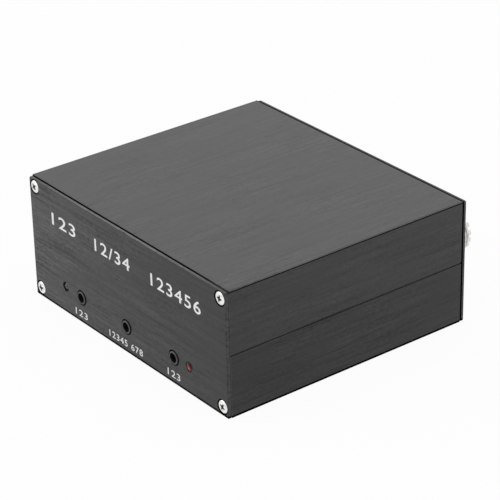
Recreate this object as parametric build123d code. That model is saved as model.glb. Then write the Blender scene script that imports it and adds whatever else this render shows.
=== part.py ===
from build123d import *
import math
import os

# Radio antenna changeover switch box: two extruded shell halves between two flat end panels,
# one circuit board on edge slots, audio jacks and lamps in front, radio sockets behind.
# Millimetres. X runs along the front panel, Y from front to rear, Z up.
# The origin is the middle of the underside.

# ---- driving dimensions: enclosure ----
panel_width = 113.0
panel_height = 46.0
panel_thickness = 1.2
panel_corner_radius = 0.6
panel_edge_chamfer = 0.3
shell_length = 100.6
shell_side_proud = 0.05
shell_face_proud = 0.35
shell_wall = 1.8
shell_skin = 2.0
shell_edge_radius = 0.3
front_groove = 0.35
rear_groove = 0.7
groove_depth = 1.0
seam_height = 23.25
seam_chamfer = 0.3
tongue_height = 1.2
tongue_thickness = 0.8
tongue_clearance = 0.1

# ---- panel screws and their channels ----
screw_inset_x = 3.1
screw_inset_z = 3.05
channel_radius = 2.5
channel_slot = 1.1
screw_core_radius = 1.42
screw_core_clearance = 0.06
screw_length = 8.0
countersink_radius = 2.7
screw_head_rim = 0.2
screw_head_sink = 0.15
screw_crown_proud = 0.15
screw_crown_radius = 1.5
screw_seat_clearance = 0.03
panel_hole_radius = 1.7
cut_margin = 1.0
small_sides = 12

# ---- circuit board and its edge slots ----
board_thickness = 1.6
board_front_gap = 0.2
board_rear_gap = 1.8
board_side_gap = 0.2
channel_to_board = 0.05
rib_reach = 2.0
rib_thickness = 1.0
slot_clearance = 0.15
lead_below_board = 1.5
lead_hole_clearance = 0.25

# ---- front jacks, 3.5 mm stereo ----
jack_pitch_share = 0.2398
jack_nose_radius = 2.4
jack_nose_proud = 0.35
jack_nose_rim = 0.2
jack_hole_clearance = 0.48
jack_bore_radius = 1.8
jack_bore_depth = 14.2
jack_back_wall = 0.9
jack_width = 7.2
jack_height = 5.2
jack_leaf_thickness = 0.25
jack_leaf_width = 1.8
jack_leaf_reach = 3.1
jack_leaf_wall = 0.5
jack_leaf_bulge = 0.75
jack_leaf_gap = 0.1
jack_leg_width = 0.8

# ---- front lamps, 3 mm ----
clear_lamp_share = -0.3265
red_lamp_share = 0.3159
lamp_radius = 1.7
lamp_dome_radius = 2.2
lamp_length = 5.3
lamp_flange_radius = 2.1
lamp_flange_thickness = 1.0
lamp_hole_clearance = 0.12
lamp_sink = 0.1
lamp_lift = 3.0
lamp_lead_width = 0.5
lamp_lead_pitch = 2.54
lamp_lead_run = 1.6

# ---- rear radio sockets, 5/8 inch thread ----
aerial_socket_share = 0.323
transceiver_socket_share = 0.0442
uhf_thread_radius = 7.94
uhf_reach = 14.5
uhf_flange_side = 25.4
uhf_flange_thickness = 1.8
uhf_flange_corner = 1.5
uhf_bolt_spacing = 18.3
uhf_rim_length = 1.5
uhf_rim_step = 0.4
uhf_bore_radius = 6.0
uhf_bore_depth = 5.0
uhf_spigot_radius = 6.5
uhf_spigot_length = 4.5
uhf_spigot_clearance = 0.25
uhf_rear_bore_radius = 4.9
uhf_shoulder = 0.8
insulator_clearance = 0.03
uhf_contact_outer = 2.9
uhf_contact_bore = 2.0
uhf_contact_depth = 9.0
uhf_slit_width = 0.4
uhf_tail_radius = 1.2
uhf_tail_length = 4.5

# ---- flange screws and nuts, 3 mm ----
bolt_radius = 1.45
bolt_length = 7.0
bolt_head_radius = 2.75
bolt_crown_radius = 1.65
bolt_head_height = 1.7
bolt_hole_radius = 1.65
nut_across_flats = 5.5
nut_height = 2.4
nut_clearance = 0.05

# ---- receiver socket, 1/4 inch thread ----
receiver_socket_share = -0.1504
sma_thread_radius = 3.175
sma_relief_radius = 2.85
sma_end_chamfer = 0.4
sma_reach = 10.0
sma_hole_clearance = 0.1
sma_flange_across = 8.0
sma_flange_thickness = 2.5
sma_nut_across = 8.0
sma_nut_height = 2.0
sma_washer_radius = 4.5
sma_washer_thickness = 0.6
sma_dielectric_radius = 2.05
sma_dielectric_sink = 0.3
sma_contact_radius = 0.64
sma_contact_bore = 0.47
sma_contact_depth = 3.0
sma_tail_length = 3.0

# ---- keying socket, phono type ----
key_socket_share = -0.2743
phono_shell_radius = 4.15
phono_reach = 9.5
phono_flange_radius = 5.5
phono_flange_thickness = 1.4
phono_thread_radius = 3.4
phono_thread_length = 5.0
phono_shell_wall = 0.5
phono_contact_bore = 1.6
phono_contact_wall = 0.45
phono_contact_sink = 0.6
phono_tail_length = 3.0
phono_nut_across = 9.0
phono_nut_height = 2.0

# ---- supply inlet, 5.5 mm barrel type ----
supply_inlet_share = -0.3938
inlet_width = 9.0
inlet_height = 11.0
inlet_length = 14.0
inlet_proud = 0.4
inlet_bore_radius = 3.15
inlet_bore_depth = 10.0
inlet_axis_lift = 6.5
inlet_pin_radius = 1.05
inlet_pin_sink = 1.0
inlet_panel_clearance = 0.15
inlet_leaf_thickness = 0.4
inlet_leaf_width = 2.6
inlet_leaf_length = 5.3
inlet_leaf_set_back = 0.8
inlet_leaf_sink = 0.1
inlet_shank_radius = 0.75
inlet_pin_nose = 0.4
inlet_leg_width = 2.0
inlet_leg_gap = 0.3

# ---- relays ----
relay_length = 19.0
relay_width = 15.5
relay_height = 15.3
relay_cover_wall = 0.6
relay_cover_lift = 0.2
relay_base_height = 1.6
relay_base_clearance = 0.1
relay_spacing = 33.0
relay_centre_share = 0.0841
relay_y = 8.0
yoke_thickness = 1.0
yoke_width = 8.0
yoke_to_cover = 0.4
core_radius = 1.5
core_x = -2.1
pole_radius = 2.6
pole_thickness = 0.7
bobbin_flange_radius = 4.6
bobbin_flange_thickness = 0.8
bobbin_wall = 0.5
bobbin_height = 7.6
winding_radius = 4.2
hinge_clearance = 0.05
pole_clearance = 0.1
armature_thickness = 1.0
armature_length = 9.6
armature_width = 7.0
armature_corner = 1.2
armature_travel = 4.0
spring_thickness = 0.25
spring_width = 2.6
spring_reach = 15.2
spring_tail = 3.0
spring_tail_gap = 0.35
contact_radius = 1.1
contact_reach = 0.55
contact_span = 14.3
contact_gap = 0.06
fixed_contact_height = 0.6
break_contact_height = 0.15
terminal_thickness = 0.4
terminal_width = 2.0
terminal_strip_length = 3.2
terminal_side = 4.4
coil_pin_width = 0.6
coil_pin_side = 5.9
coil_pin_height = 1.2

# ---- leads inside the box ----
coax_radius = 1.25
coax_bend_radius = 9.0
coax_straight = 3.0
key_wire_radius = 0.6
key_wire_bend_radius = 6.0
key_wire_straight = 2.0
lead_sides = 8

# ---- small parts on the board ----
capacitor_radius = 3.15
capacitor_height = 11.0
capacitor_rim = 0.4
capacitor_y = (28.0, 18.0, 8.0)
regulator_y = 22.0
regulator_body = (10.0, 4.4, 9.2)
regulator_tab_height = 15.6
regulator_tab_thickness = 1.3
regulator_hole_radius = 1.8
regulator_lead_pitch = 2.54
regulator_lead_width = 0.6
regulator_standoff = 2.5
diode_radius = 1.3
diode_length = 4.6
diode_to_relay = 1.2
resistor_radius = 1.15
resistor_length = 6.0
resistor_count = 6
resistor_pitch = 4.2
resistor_to_relay = 8.0
resistor_share = -0.354
axial_lead_radius = 0.3
axial_lead_span = 10.2

# ---- values that follow from those above ----
front_inner = -shell_length / 2
rear_inner = shell_length / 2
front_outer = front_inner - panel_thickness
rear_outer = rear_inner + panel_thickness
panel_low = shell_face_proud
panel_high = panel_low + panel_height
shell_half_width = panel_width / 2 + shell_side_proud
shell_top = panel_high + shell_face_proud
screw_x = panel_width / 2 - screw_inset_x
jack_pitch = jack_pitch_share * panel_width
clear_lamp_x = clear_lamp_share * panel_width
red_lamp_x = red_lamp_share * panel_width
aerial_socket_x = aerial_socket_share * panel_width
transceiver_socket_x = transceiver_socket_share * panel_width
receiver_socket_x = receiver_socket_share * panel_width
key_socket_x = key_socket_share * panel_width
supply_inlet_x = supply_inlet_share * panel_width
relay_centre_x = relay_centre_share * panel_width
resistor_x = resistor_share * panel_width
screw_low = panel_low + screw_inset_z
screw_high = panel_high - screw_inset_z
board_bottom = screw_low + channel_radius + channel_to_board
board_top = board_bottom + board_thickness
board_half_width = shell_half_width - shell_wall - board_side_gap
board_front = front_inner + board_front_gap
board_rear = rear_inner - board_rear_gap
lead_bottom = board_bottom - lead_below_board
jack_axis = board_top + jack_height / 2
lamp_axis = board_top + lamp_lift
socket_axis = (panel_low + panel_high) / 2
inlet_axis = board_top + inlet_axis_lift
hinge_x = -relay_length / 2 + relay_cover_wall + yoke_to_cover + spring_tail_gap + spring_thickness
yoke_foot_top = relay_base_height + yoke_thickness
bobbin_top = yoke_foot_top + bobbin_height
pole_top = bobbin_top + pole_thickness
hinge_z = pole_top + pole_clearance
relay_places = {
    "aerial_relay": (relay_centre_x + relay_spacing / 2, relay_y),
    "receiver_relay": (relay_centre_x - relay_spacing / 2, relay_y),
}


# ---- shapes used by several parts ----
def block(x0, x1, y0, y1, z0, z1):
    """A plain block between two corners."""
    middle = Pos((x0 + x1) / 2, (y0 + y1) / 2, (z0 + z1) / 2)
    return middle * Box(x1 - x0, y1 - y0, z1 - z0)


def rod(radius, z0, z1, x=0.0, y=0.0):
    """A round rod standing along Z."""
    return Pos(x, y, (z0 + z1) / 2) * Cylinder(radius, z1 - z0)


def faceted_rod(radius, z0, z1):
    """A small many-sided rod standing along Z, its corners on the round one's surface."""
    return Pos(0, 0, z0) * extrude(RegularPolygon(radius, small_sides), z1 - z0)


def faceted_cross_rod(radius, u0, u1):
    """A small many-sided rod lying along Y about the local axis."""
    return Pos(0, u1, 0) * extrude(Plane.XZ * RegularPolygon(radius, small_sides), u1 - u0)


def faceted_cone(radius0, u0, radius1, u1):
    """A small many-sided taper along Y about the local axis."""
    ends = [
        Plane(origin=(0, u, 0), z_dir=(0, 1, 0)) * RegularPolygon(radius, small_sides)
        for radius, u in ((radius0, u0), (radius1, u1))
    ]
    return loft(Sketch() + ends)


def cross_rod(radius, u0, u1):
    """A round rod lying along Y about the local axis."""
    return Pos(0, (u0 + u1) / 2, 0) * Rot(90, 0, 0) * Cylinder(radius, u1 - u0)


def turned(points):
    """A body of revolution about Y, from (radius, u) points."""
    outline = Polyline(*[(r, u) for r, u in points], close=True)
    return revolve(make_face(outline), Axis.Y, 360)


def hexagon(across, u0, u1, bore):
    """A hexagon nut or flange about the local Y axis."""
    outline = RegularPolygon(across / 2, 6, major_radius=False)
    outline -= RegularPolygon(bore, small_sides, major_radius=False)
    return Pos(0, u1, 0) * extrude(Plane.XZ * outline, u1 - u0)


def on_front(x, z):
    """A place on the front panel's outer face, its local +Y pointing out of the box."""
    return Pos(x, front_outer, z) * Rot(0, 0, 180)


def on_rear(x, z):
    """A place on the rear panel's outer face, its local +Y pointing out of the box."""
    return Pos(x, rear_outer, z)


def on_board(x, y):
    """A place on the board's upper face."""
    return Pos(x, y, board_top)


def group(solids):
    """Like pieces that share one node."""
    return Compound(children=list(solids))


# ---- enclosure ----
def shell_section(depth, screw_depth, tongued):
    """A shell half in section: its outer skin at v = 0, its seam at v = depth."""
    inner = shell_half_width - shell_wall
    low, high = Align.MIN, Align.MAX
    section = Rectangle(2 * shell_half_width, shell_skin, align=(Align.CENTER, low))
    for side in (-1, 1):
        hand = (high if side > 0 else low, low)
        wall = Rectangle(shell_wall, depth, align=hand)
        section += Pos(side * shell_half_width, 0) * wall
        rib = Rectangle(rib_reach + shell_wall / 2, rib_thickness, align=hand)
        rib_place = side * (shell_half_width - shell_wall / 2)
        section += Pos(rib_place, board_bottom - rib_thickness) * rib
        section += Pos(rib_place, board_top + slot_clearance) * rib
        section += Pos(side * screw_x, screw_depth) * Circle(channel_radius)
    for side in (-1, 1):
        bore = Circle(screw_core_radius + screw_core_clearance)
        slot = Rectangle(channel_slot, 2 * channel_radius, align=(Align.CENTER, low))
        at_screw = Pos(side * screw_x, screw_depth)
        section -= at_screw * bore
        section -= at_screw * Rot(0, 0, side * 45) * slot
        hand = (high if side < 0 else low, low)
        if tongued:
            tongue = Rectangle(tongue_thickness, 2 * tongue_height, align=hand)
            section += Pos(side * inner, depth - tongue_height) * tongue
        else:
            groove_width = tongue_thickness + tongue_clearance
            groove = Rectangle(groove_width, tongue_height + tongue_clearance, align=hand)
            section -= Pos(side * inner, depth - tongue_height - tongue_clearance) * groove
        bevel = Rot(0, 0, 45) * Rectangle(seam_chamfer * math.sqrt(2), seam_chamfer * math.sqrt(2))
        section -= Pos(side * shell_half_width, depth) * bevel
    return section


def shell_envelope():
    """The outer form of a shell half: long edges eased, a groove before each end panel."""
    width = 2 * shell_half_width
    tall = 3 * panel_height
    front = front_inner + front_groove
    rear = rear_inner - rear_groove
    bar = Pos(0, tall / 2) * RectangleRounded(width, tall, shell_edge_radius)
    form = Pos(0, rear, 0) * extrude(Plane.XZ * bar, rear - front)
    core = shell_half_width - groove_depth
    form += block(-shell_half_width, shell_half_width, front_inner, front, groove_depth, tall)
    return form + block(-core, core, rear, rear_inner, groove_depth, tall)


def lower_shell():
    section = shell_section(seam_height, screw_low, True)
    return extrude(Plane.XZ * section, shell_length / 2, both=True) & shell_envelope()


def upper_shell():
    depth = shell_top - seam_height
    section = shell_section(depth, shell_top - screw_high, False)
    half = extrude(Plane.XZ * section, shell_length / 2, both=True) & shell_envelope()
    return Pos(0, 0, shell_top) * Rot(0, 180, 0) * half


def panel_blank():
    """A flat panel, its outer face at u = 0."""
    half = panel_width / 2
    blank = block(-half, half, -panel_thickness, 0, panel_low, panel_high)
    blank = fillet(blank.edges().filter_by(Axis.Y), panel_corner_radius)
    blank = chamfer(blank.faces().sort_by(Axis.Y)[-1].edges(), panel_edge_chamfer)
    countersink = turned([
        (0, cut_margin),
        (countersink_radius + cut_margin, cut_margin),
        (panel_hole_radius, panel_hole_radius - countersink_radius),
        (panel_hole_radius, -panel_thickness - cut_margin),
        (0, -panel_thickness - cut_margin),
    ])
    for x in (-screw_x, screw_x):
        for z in (screw_low, screw_high):
            blank -= Pos(x, 0, z) * countersink
    return blank


def jack_places():
    return [-jack_pitch, 0.0, jack_pitch]


def front_panel():
    panel = on_front(0, 0) * panel_blank()
    deep = 2 * panel_thickness
    for x in jack_places():
        hole = cross_rod(jack_nose_radius + jack_hole_clearance, -deep, deep)
        panel -= on_front(x, jack_axis) * hole
    for x in (clear_lamp_x, red_lamp_x):
        hole = cross_rod(lamp_radius + lamp_hole_clearance, -deep, deep)
        panel -= on_front(x, lamp_axis) * hole
    return panel


def rear_panel():
    panel = on_rear(0, 0) * panel_blank()
    deep = 2 * panel_thickness
    for x in (aerial_socket_x, transceiver_socket_x):
        panel -= on_rear(x, socket_axis) * cross_rod(uhf_spigot_radius + uhf_spigot_clearance, -deep, deep)
        for bolt in bolt_places():
            panel -= on_rear(x, socket_axis) * bolt * faceted_cross_rod(bolt_hole_radius, -deep, deep)
    sma_hole = cross_rod(sma_thread_radius + sma_hole_clearance, -deep, deep)
    panel -= on_rear(receiver_socket_x, socket_axis) * sma_hole
    phono_hole = cross_rod(phono_thread_radius + sma_hole_clearance, -deep, deep)
    panel -= on_rear(key_socket_x, socket_axis) * phono_hole
    window_width = inlet_width + 2 * inlet_panel_clearance
    window_low = board_top - inlet_panel_clearance
    window_high = board_top + inlet_height + inlet_panel_clearance
    window = block(-window_width / 2, window_width / 2, -deep, deep, window_low, window_high)
    return panel - on_rear(supply_inlet_x, 0) * window


def panel_screw():
    """A countersunk screw with a raised head, its edge just below the panel's outer face."""
    top = -screw_head_sink
    cone_top = top - screw_head_rim
    cone_shift = screw_seat_clearance * math.sqrt(2)
    edge_radius = countersink_radius + cone_top - cone_shift
    neck = cone_top - (edge_radius - screw_core_radius)
    tip = -panel_thickness - screw_length
    screw = faceted_cone(edge_radius, top, screw_crown_radius, screw_crown_proud)
    screw += faceted_cross_rod(edge_radius, cone_top, top)
    screw += faceted_cone(screw_core_radius, neck, edge_radius, cone_top)
    return screw + faceted_cross_rod(screw_core_radius, tip, neck)


def panel_screws(place):
    corners = [(x, z) for z in (screw_low, screw_high) for x in (-screw_x, screw_x)]
    return group(place(x, z) * panel_screw() for x, z in corners)


# ---- front jacks ----
def jack_front():
    """Where the jack's housing starts behind the panel, along u."""
    return -panel_thickness - board_front_gap


def jack_leaves():
    """Side and start of each contact leaf, from the mouth inwards: sleeve, ring and tip."""
    pitch = jack_leaf_reach + 2 * jack_leaf_gap + jack_leaf_wall
    first = jack_front() - jack_leaf_wall - jack_leaf_gap
    return [(side, first - step * pitch) for step, side in enumerate((-1, 1, -1))]


def jack_leaf_span():
    """How far the leaf's near and far faces and its back lie from the bore's axis."""
    near = jack_bore_radius + jack_leaf_gap
    far = near + jack_leaf_bulge
    return near, far, far + jack_leaf_thickness


def jack_housing():
    front = jack_front()
    back = jack_nose_proud - jack_bore_depth - jack_back_wall
    half = jack_width / 2
    housing = block(-half, half, back, front, -jack_height / 2, jack_height / 2)
    nose = turned([
        (0, front),
        (jack_nose_radius, front),
        (jack_nose_radius, jack_nose_proud - jack_nose_rim),
        (jack_nose_radius - jack_nose_rim, jack_nose_proud),
        (0, jack_nose_proud),
    ])
    housing += nose
    bore_end = jack_nose_proud - jack_bore_depth
    housing -= cross_rod(jack_bore_radius, bore_end, jack_nose_proud + cut_margin)
    near, far, leaf_back = jack_leaf_span()
    gap = jack_leaf_gap
    high = jack_leaf_width / 2 + gap
    for side, start in jack_leaves():
        end = start - jack_leaf_reach - gap
        pocket = block(near - 3 * gap, leaf_back + gap, end, start + gap, -high, high)
        leg_end = start - jack_leg_width - gap
        pocket += block(far - gap, leaf_back + gap, leg_end, start + gap, -jack_height, high)
        housing -= pocket if side > 0 else mirror(pocket, Plane.YZ)
    return housing


def jack_leaf():
    """A bent contact leaf beside the bore, with its leg through the board. It starts at u = 0."""
    near, far, leaf_back = jack_leaf_span()
    middle = -jack_leaf_reach / 2
    outline = Polyline(
        (far, 0),
        (near, middle),
        (far, -jack_leaf_reach),
        (leaf_back, -jack_leaf_reach),
        (near + jack_leaf_thickness, middle),
        (leaf_back, 0),
        close=True,
    )
    leaf = Pos(0, 0, -jack_leaf_width / 2) * extrude(make_face(outline), jack_leaf_width)
    drop = lead_bottom - jack_axis
    return leaf + block(far, leaf_back, -jack_leg_width, 0, drop, jack_leaf_width / 2)


def jack_contacts():
    leaves = []
    for side, start in jack_leaves():
        leaf = Pos(0, start, 0) * jack_leaf()
        leaves.append(leaf if side > 0 else mirror(leaf, Plane.YZ))
    return leaves


# ---- front lamps ----
def lamp_lens():
    tip = -lamp_sink
    rear = tip - lamp_length
    dome_base = tip - lamp_dome_radius
    dome = Pos(0, dome_base, 0) * Sphere(lamp_dome_radius)
    body = cross_rod(lamp_radius, rear, dome_base) + (cross_rod(lamp_radius, dome_base, tip) & dome)
    return body + cross_rod(lamp_flange_radius, rear, rear + lamp_flange_thickness)


def lamp_leads():
    rear = -lamp_sink - lamp_length
    half = lamp_lead_width / 2
    drop = lead_bottom - lamp_axis
    leads = []
    for x in (-lamp_lead_pitch / 2, lamp_lead_pitch / 2):
        end = rear - lamp_lead_run
        run = block(x - half, x + half, end, rear, -half, half)
        leads.append(run + block(x - half, x + half, end, end + lamp_lead_width, drop, half))
    return leads


# ---- rear radio sockets ----
def bolt_places():
    half = uhf_bolt_spacing / 2
    return [Pos(x, 0, z) for x in (-half, half) for z in (-half, half)]


def uhf_body():
    rim_radius = uhf_thread_radius - uhf_rim_step
    rim_start = uhf_reach - uhf_rim_length
    shoulder = uhf_shoulder
    barrel = turned([
        (uhf_rear_bore_radius, -uhf_spigot_length),
        (uhf_spigot_radius, -uhf_spigot_length),
        (uhf_spigot_radius, uhf_flange_thickness / 2),
        (uhf_thread_radius, uhf_flange_thickness / 2),
        (uhf_thread_radius, rim_start - uhf_rim_step),
        (rim_radius, rim_start),
        (rim_radius, uhf_reach),
        (uhf_bore_radius, uhf_reach),
        (uhf_bore_radius, shoulder),
        (uhf_rear_bore_radius, shoulder),
    ])
    outline = RectangleRounded(uhf_flange_side, uhf_flange_side, uhf_flange_corner)
    outline -= Circle(uhf_spigot_radius)
    flange = Pos(0, uhf_flange_thickness, 0) * extrude(Plane.XZ * outline, uhf_flange_thickness)
    for bolt in bolt_places():
        hole = faceted_cross_rod(bolt_hole_radius, -cut_margin, uhf_flange_thickness + cut_margin)
        flange -= bolt * hole
    return barrel + flange


def uhf_face():
    """The depth of the insulator's face, along u."""
    return uhf_reach - uhf_bore_depth


def uhf_insulator():
    gap = insulator_clearance
    return turned([
        (uhf_contact_outer + gap, -uhf_spigot_length),
        (uhf_rear_bore_radius - gap, -uhf_spigot_length),
        (uhf_rear_bore_radius - gap, uhf_shoulder + gap),
        (uhf_bore_radius - gap, uhf_shoulder + gap),
        (uhf_bore_radius - gap, uhf_face()),
        (uhf_contact_outer + gap, uhf_face()),
    ])


def uhf_tail_end():
    return -uhf_spigot_length - uhf_tail_length


def uhf_contact():
    face = uhf_face()
    tube = cross_rod(uhf_contact_outer, -uhf_spigot_length, face)
    tube -= cross_rod(uhf_contact_bore, face - uhf_contact_depth, face + cut_margin)
    for angle in (45, 135):
        slit = Box(2 * uhf_contact_outer + cut_margin, uhf_contact_depth, uhf_slit_width)
        tube -= Rot(0, angle, 0) * Pos(0, face, 0) * slit
    return tube + cross_rod(uhf_tail_radius, uhf_tail_end(), -uhf_spigot_length)


def flange_bolt():
    """A pan-head screw on the flange's face, its head tapered to a crown."""
    seat = uhf_flange_thickness
    shoulder = seat + bolt_head_height / 2
    bolt = faceted_cross_rod(bolt_radius, seat - bolt_length, seat)
    bolt += faceted_cross_rod(bolt_head_radius, seat, shoulder)
    return bolt + faceted_cone(bolt_head_radius, shoulder, bolt_crown_radius, seat + bolt_head_height)


def flange_nut():
    back = -panel_thickness - nut_height
    return hexagon(nut_across_flats, back, -panel_thickness, bolt_radius + nut_clearance)


def radio_socket_places():
    return [on_rear(x, socket_axis) for x in (aerial_socket_x, transceiver_socket_x)]


# ---- receiver socket ----
def sma_body():
    back = -panel_thickness - sma_flange_thickness
    flange = hexagon(sma_flange_across, back, -panel_thickness, sma_dielectric_radius)
    barrel = turned([
        (sma_dielectric_radius, back),
        (sma_relief_radius, back),
        (sma_relief_radius, sma_washer_thickness + sma_nut_height),
        (sma_thread_radius, sma_washer_thickness + sma_nut_height),
        (sma_thread_radius, sma_reach - sma_end_chamfer),
        (sma_thread_radius - sma_end_chamfer, sma_reach),
        (sma_dielectric_radius, sma_reach),
    ])
    return flange + barrel


def sma_insulator():
    gap = insulator_clearance
    back = -panel_thickness - sma_flange_thickness
    return turned([
        (sma_contact_radius + gap, back),
        (sma_dielectric_radius - gap, back),
        (sma_dielectric_radius - gap, sma_reach - sma_dielectric_sink),
        (sma_contact_radius + gap, sma_reach - sma_dielectric_sink),
    ])


def sma_tail_end():
    return -panel_thickness - sma_flange_thickness - sma_tail_length


def sma_contact():
    face = sma_reach - sma_dielectric_sink
    pin = cross_rod(sma_contact_radius, sma_tail_end(), face)
    return pin - cross_rod(sma_contact_bore, face - sma_contact_depth, face + cut_margin)


def sma_washer():
    bore = sma_thread_radius + sma_hole_clearance
    disc = cross_rod(sma_washer_radius, 0, sma_washer_thickness)
    return disc - cross_rod(bore, -cut_margin, sma_washer_thickness + cut_margin)


def sma_nut():
    start = sma_washer_thickness
    return hexagon(sma_nut_across, start, start + sma_nut_height, sma_relief_radius + nut_clearance)


# ---- keying socket ----
def phono_shell():
    inside = phono_shell_radius - phono_shell_wall
    bore = phono_contact_bore + phono_contact_wall
    wall = bore + phono_shell_wall
    return turned([
        (wall, -phono_thread_length),
        (phono_thread_radius, -phono_thread_length),
        (phono_thread_radius, 0),
        (phono_flange_radius, 0),
        (phono_flange_radius, phono_flange_thickness),
        (phono_shell_radius, phono_flange_thickness),
        (phono_shell_radius, phono_reach),
        (inside, phono_reach),
        (inside, phono_flange_thickness),
        (wall, phono_flange_thickness),
    ])


def phono_insulator():
    gap = insulator_clearance
    inside = phono_shell_radius - phono_shell_wall
    bore = phono_contact_bore + phono_contact_wall + gap
    wall = bore + phono_shell_wall - 2 * gap
    return turned([
        (bore, -phono_thread_length),
        (wall, -phono_thread_length),
        (wall, phono_flange_thickness + gap),
        (inside - gap, phono_flange_thickness + gap),
        (inside - gap, phono_reach - phono_contact_sink),
        (bore, phono_reach - phono_contact_sink),
    ])


def phono_tail_end():
    return -phono_thread_length - phono_tail_length


def phono_contact():
    face = phono_reach - phono_contact_sink
    tube = cross_rod(phono_contact_bore + phono_contact_wall, -phono_thread_length, face)
    tube -= cross_rod(phono_contact_bore, phono_flange_thickness, face + cut_margin)
    return tube + cross_rod(phono_contact_wall, phono_tail_end(), -phono_thread_length)


def phono_nut():
    back = -panel_thickness - phono_nut_height
    return hexagon(phono_nut_across, back, -panel_thickness, phono_thread_radius + nut_clearance)


# ---- supply inlet ----
def inlet_housing():
    half = inlet_width / 2
    low = board_top - inlet_axis
    back = inlet_proud - inlet_length
    body = block(-half, half, back, inlet_proud, low, low + inlet_height)
    bore_end = inlet_proud - inlet_bore_depth
    body -= cross_rod(inlet_bore_radius, bore_end, inlet_proud + cut_margin)
    shank_hole = inlet_shank_radius + insulator_clearance
    body -= cross_rod(shank_hole, back - cut_margin, bore_end + cut_margin)
    pocket = inlet_leaf_width / 2 + insulator_clearance
    leaf_top = -inlet_bore_radius
    start = bore_end - inlet_leaf_set_back - insulator_clearance
    end = bore_end - inlet_leaf_set_back + inlet_leaf_length + insulator_clearance
    return body - block(-pocket, pocket, start, end, low - cut_margin, leaf_top)


def inlet_pin():
    back = inlet_proud - inlet_length
    tip = inlet_proud - inlet_pin_sink
    bore_end = inlet_proud - inlet_bore_depth
    pin = turned([
        (0, back - inlet_leg_gap),
        (inlet_shank_radius, back - inlet_leg_gap),
        (inlet_shank_radius, bore_end),
        (inlet_pin_radius, bore_end),
        (inlet_pin_radius, tip - inlet_pin_nose),
        (inlet_pin_radius - inlet_pin_nose, tip),
        (0, tip),
    ])
    drop = lead_bottom - inlet_axis
    half = inlet_leg_width / 2
    leg_front = back - inlet_leg_gap
    leg = block(-half, half, leg_front - inlet_leaf_thickness, leg_front, drop, inlet_pin_radius)
    return pin + leg


def inlet_spring():
    """The sleeve contact under the bore, with its leg through the board."""
    bore_end = inlet_proud - inlet_bore_depth
    half = inlet_leaf_width / 2
    top = -inlet_bore_radius - inlet_leaf_sink
    start = bore_end - inlet_leaf_set_back
    tip = start + inlet_leaf_length
    leaf = block(-half, half, start, tip, top - inlet_leaf_thickness, top)
    drop = lead_bottom - inlet_axis
    return leaf + block(-half, half, start, start + inlet_leaf_thickness, drop, top)


# ---- relays, about the middle of the footprint with z = 0 on the board ----
def relay_inside():
    return relay_length / 2 - relay_cover_wall, relay_width / 2 - relay_cover_wall


def relay_cover():
    half_x, half_y = relay_inside()
    top = relay_height - relay_cover_wall
    outer = block(
        -relay_length / 2,
        relay_length / 2,
        -relay_width / 2,
        relay_width / 2,
        relay_cover_lift,
        relay_height,
    )
    outer = fillet(outer.edges().filter_by(Axis.Z), relay_cover_wall)
    return outer - block(-half_x, half_x, -half_y, half_y, -cut_margin, top)


def terminal_x():
    """The outer and inner faces of the fixed contact terminals."""
    outer = relay_inside()[0] - 2 * relay_base_clearance - yoke_to_cover
    return outer - terminal_thickness, outer


def relay_leg_sections():
    """Plan rectangles (x0, x1, y0, y1) of every leg that passes through base and board."""
    x0, x1 = terminal_x()
    half = terminal_width / 2
    pin = coil_pin_width / 2
    legs = [(x0, x1, s * terminal_side - half, s * terminal_side + half) for s in (-1, 1)]
    legs.append((hinge_x, hinge_x + yoke_thickness, -half, half))
    for side in (-1, 1):
        y = side * coil_pin_side
        legs.append((core_x - pin, core_x + pin, y - pin, y + pin))
    return legs


def relay_base():
    half_x, half_y = relay_inside()
    gap = relay_base_clearance
    base = block(-half_x + gap, half_x - gap, -half_y + gap, half_y - gap, 0, relay_base_height)
    for x0, x1, y0, y1 in relay_leg_sections():
        high = relay_base_height + cut_margin
        base -= block(x0 - gap, x1 + gap, y0 - gap, y1 + gap, -cut_margin, high)
    return base


def relay_yoke():
    """The bent iron yoke with the core riveted through its foot."""
    half = yoke_width / 2
    leg = hinge_z - hinge_clearance
    foot = block(hinge_x, core_x + pole_radius, -half, half, relay_base_height, yoke_foot_top)
    yoke = foot + block(hinge_x, hinge_x + yoke_thickness, -half, half, relay_base_height, leg)
    bottom = lead_bottom - board_top
    tab = terminal_width / 2
    yoke += block(hinge_x, hinge_x + yoke_thickness, -tab, tab, bottom, relay_base_height)
    yoke += rod(core_radius, relay_base_height, pole_top, core_x)
    return yoke + rod(pole_radius, bobbin_top, pole_top, core_x)


def relay_bobbin():
    bore = core_radius + insulator_clearance
    barrel = rod(core_radius + bobbin_wall, yoke_foot_top, bobbin_top, core_x)
    low_top = yoke_foot_top + bobbin_flange_thickness
    barrel += rod(bobbin_flange_radius, yoke_foot_top, low_top, core_x)
    barrel += rod(bobbin_flange_radius, bobbin_top - bobbin_flange_thickness, bobbin_top, core_x)
    return barrel - rod(bore, 0, relay_height, core_x)


def relay_winding():
    low = yoke_foot_top + bobbin_flange_thickness
    high = bobbin_top - bobbin_flange_thickness
    inner = core_radius + bobbin_wall + insulator_clearance
    return rod(winding_radius, low, high, core_x) - rod(inner, 0, relay_height, core_x)


def tilted(piece):
    """Turns a piece about the hinge line, from pulled in to released."""
    hinge = Pos(hinge_x, 0, hinge_z)
    return hinge * Rot(0, -armature_travel, 0) * hinge.inverse() * piece


def relay_armature():
    half = armature_width / 2
    end = hinge_x + armature_length
    plate = block(hinge_x, end, -half, half, hinge_z, hinge_z + armature_thickness)
    corners = plate.edges().filter_by(Axis.Z).sort_by(Axis.X)[-2:]
    return tilted(chamfer(corners, armature_corner))


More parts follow.
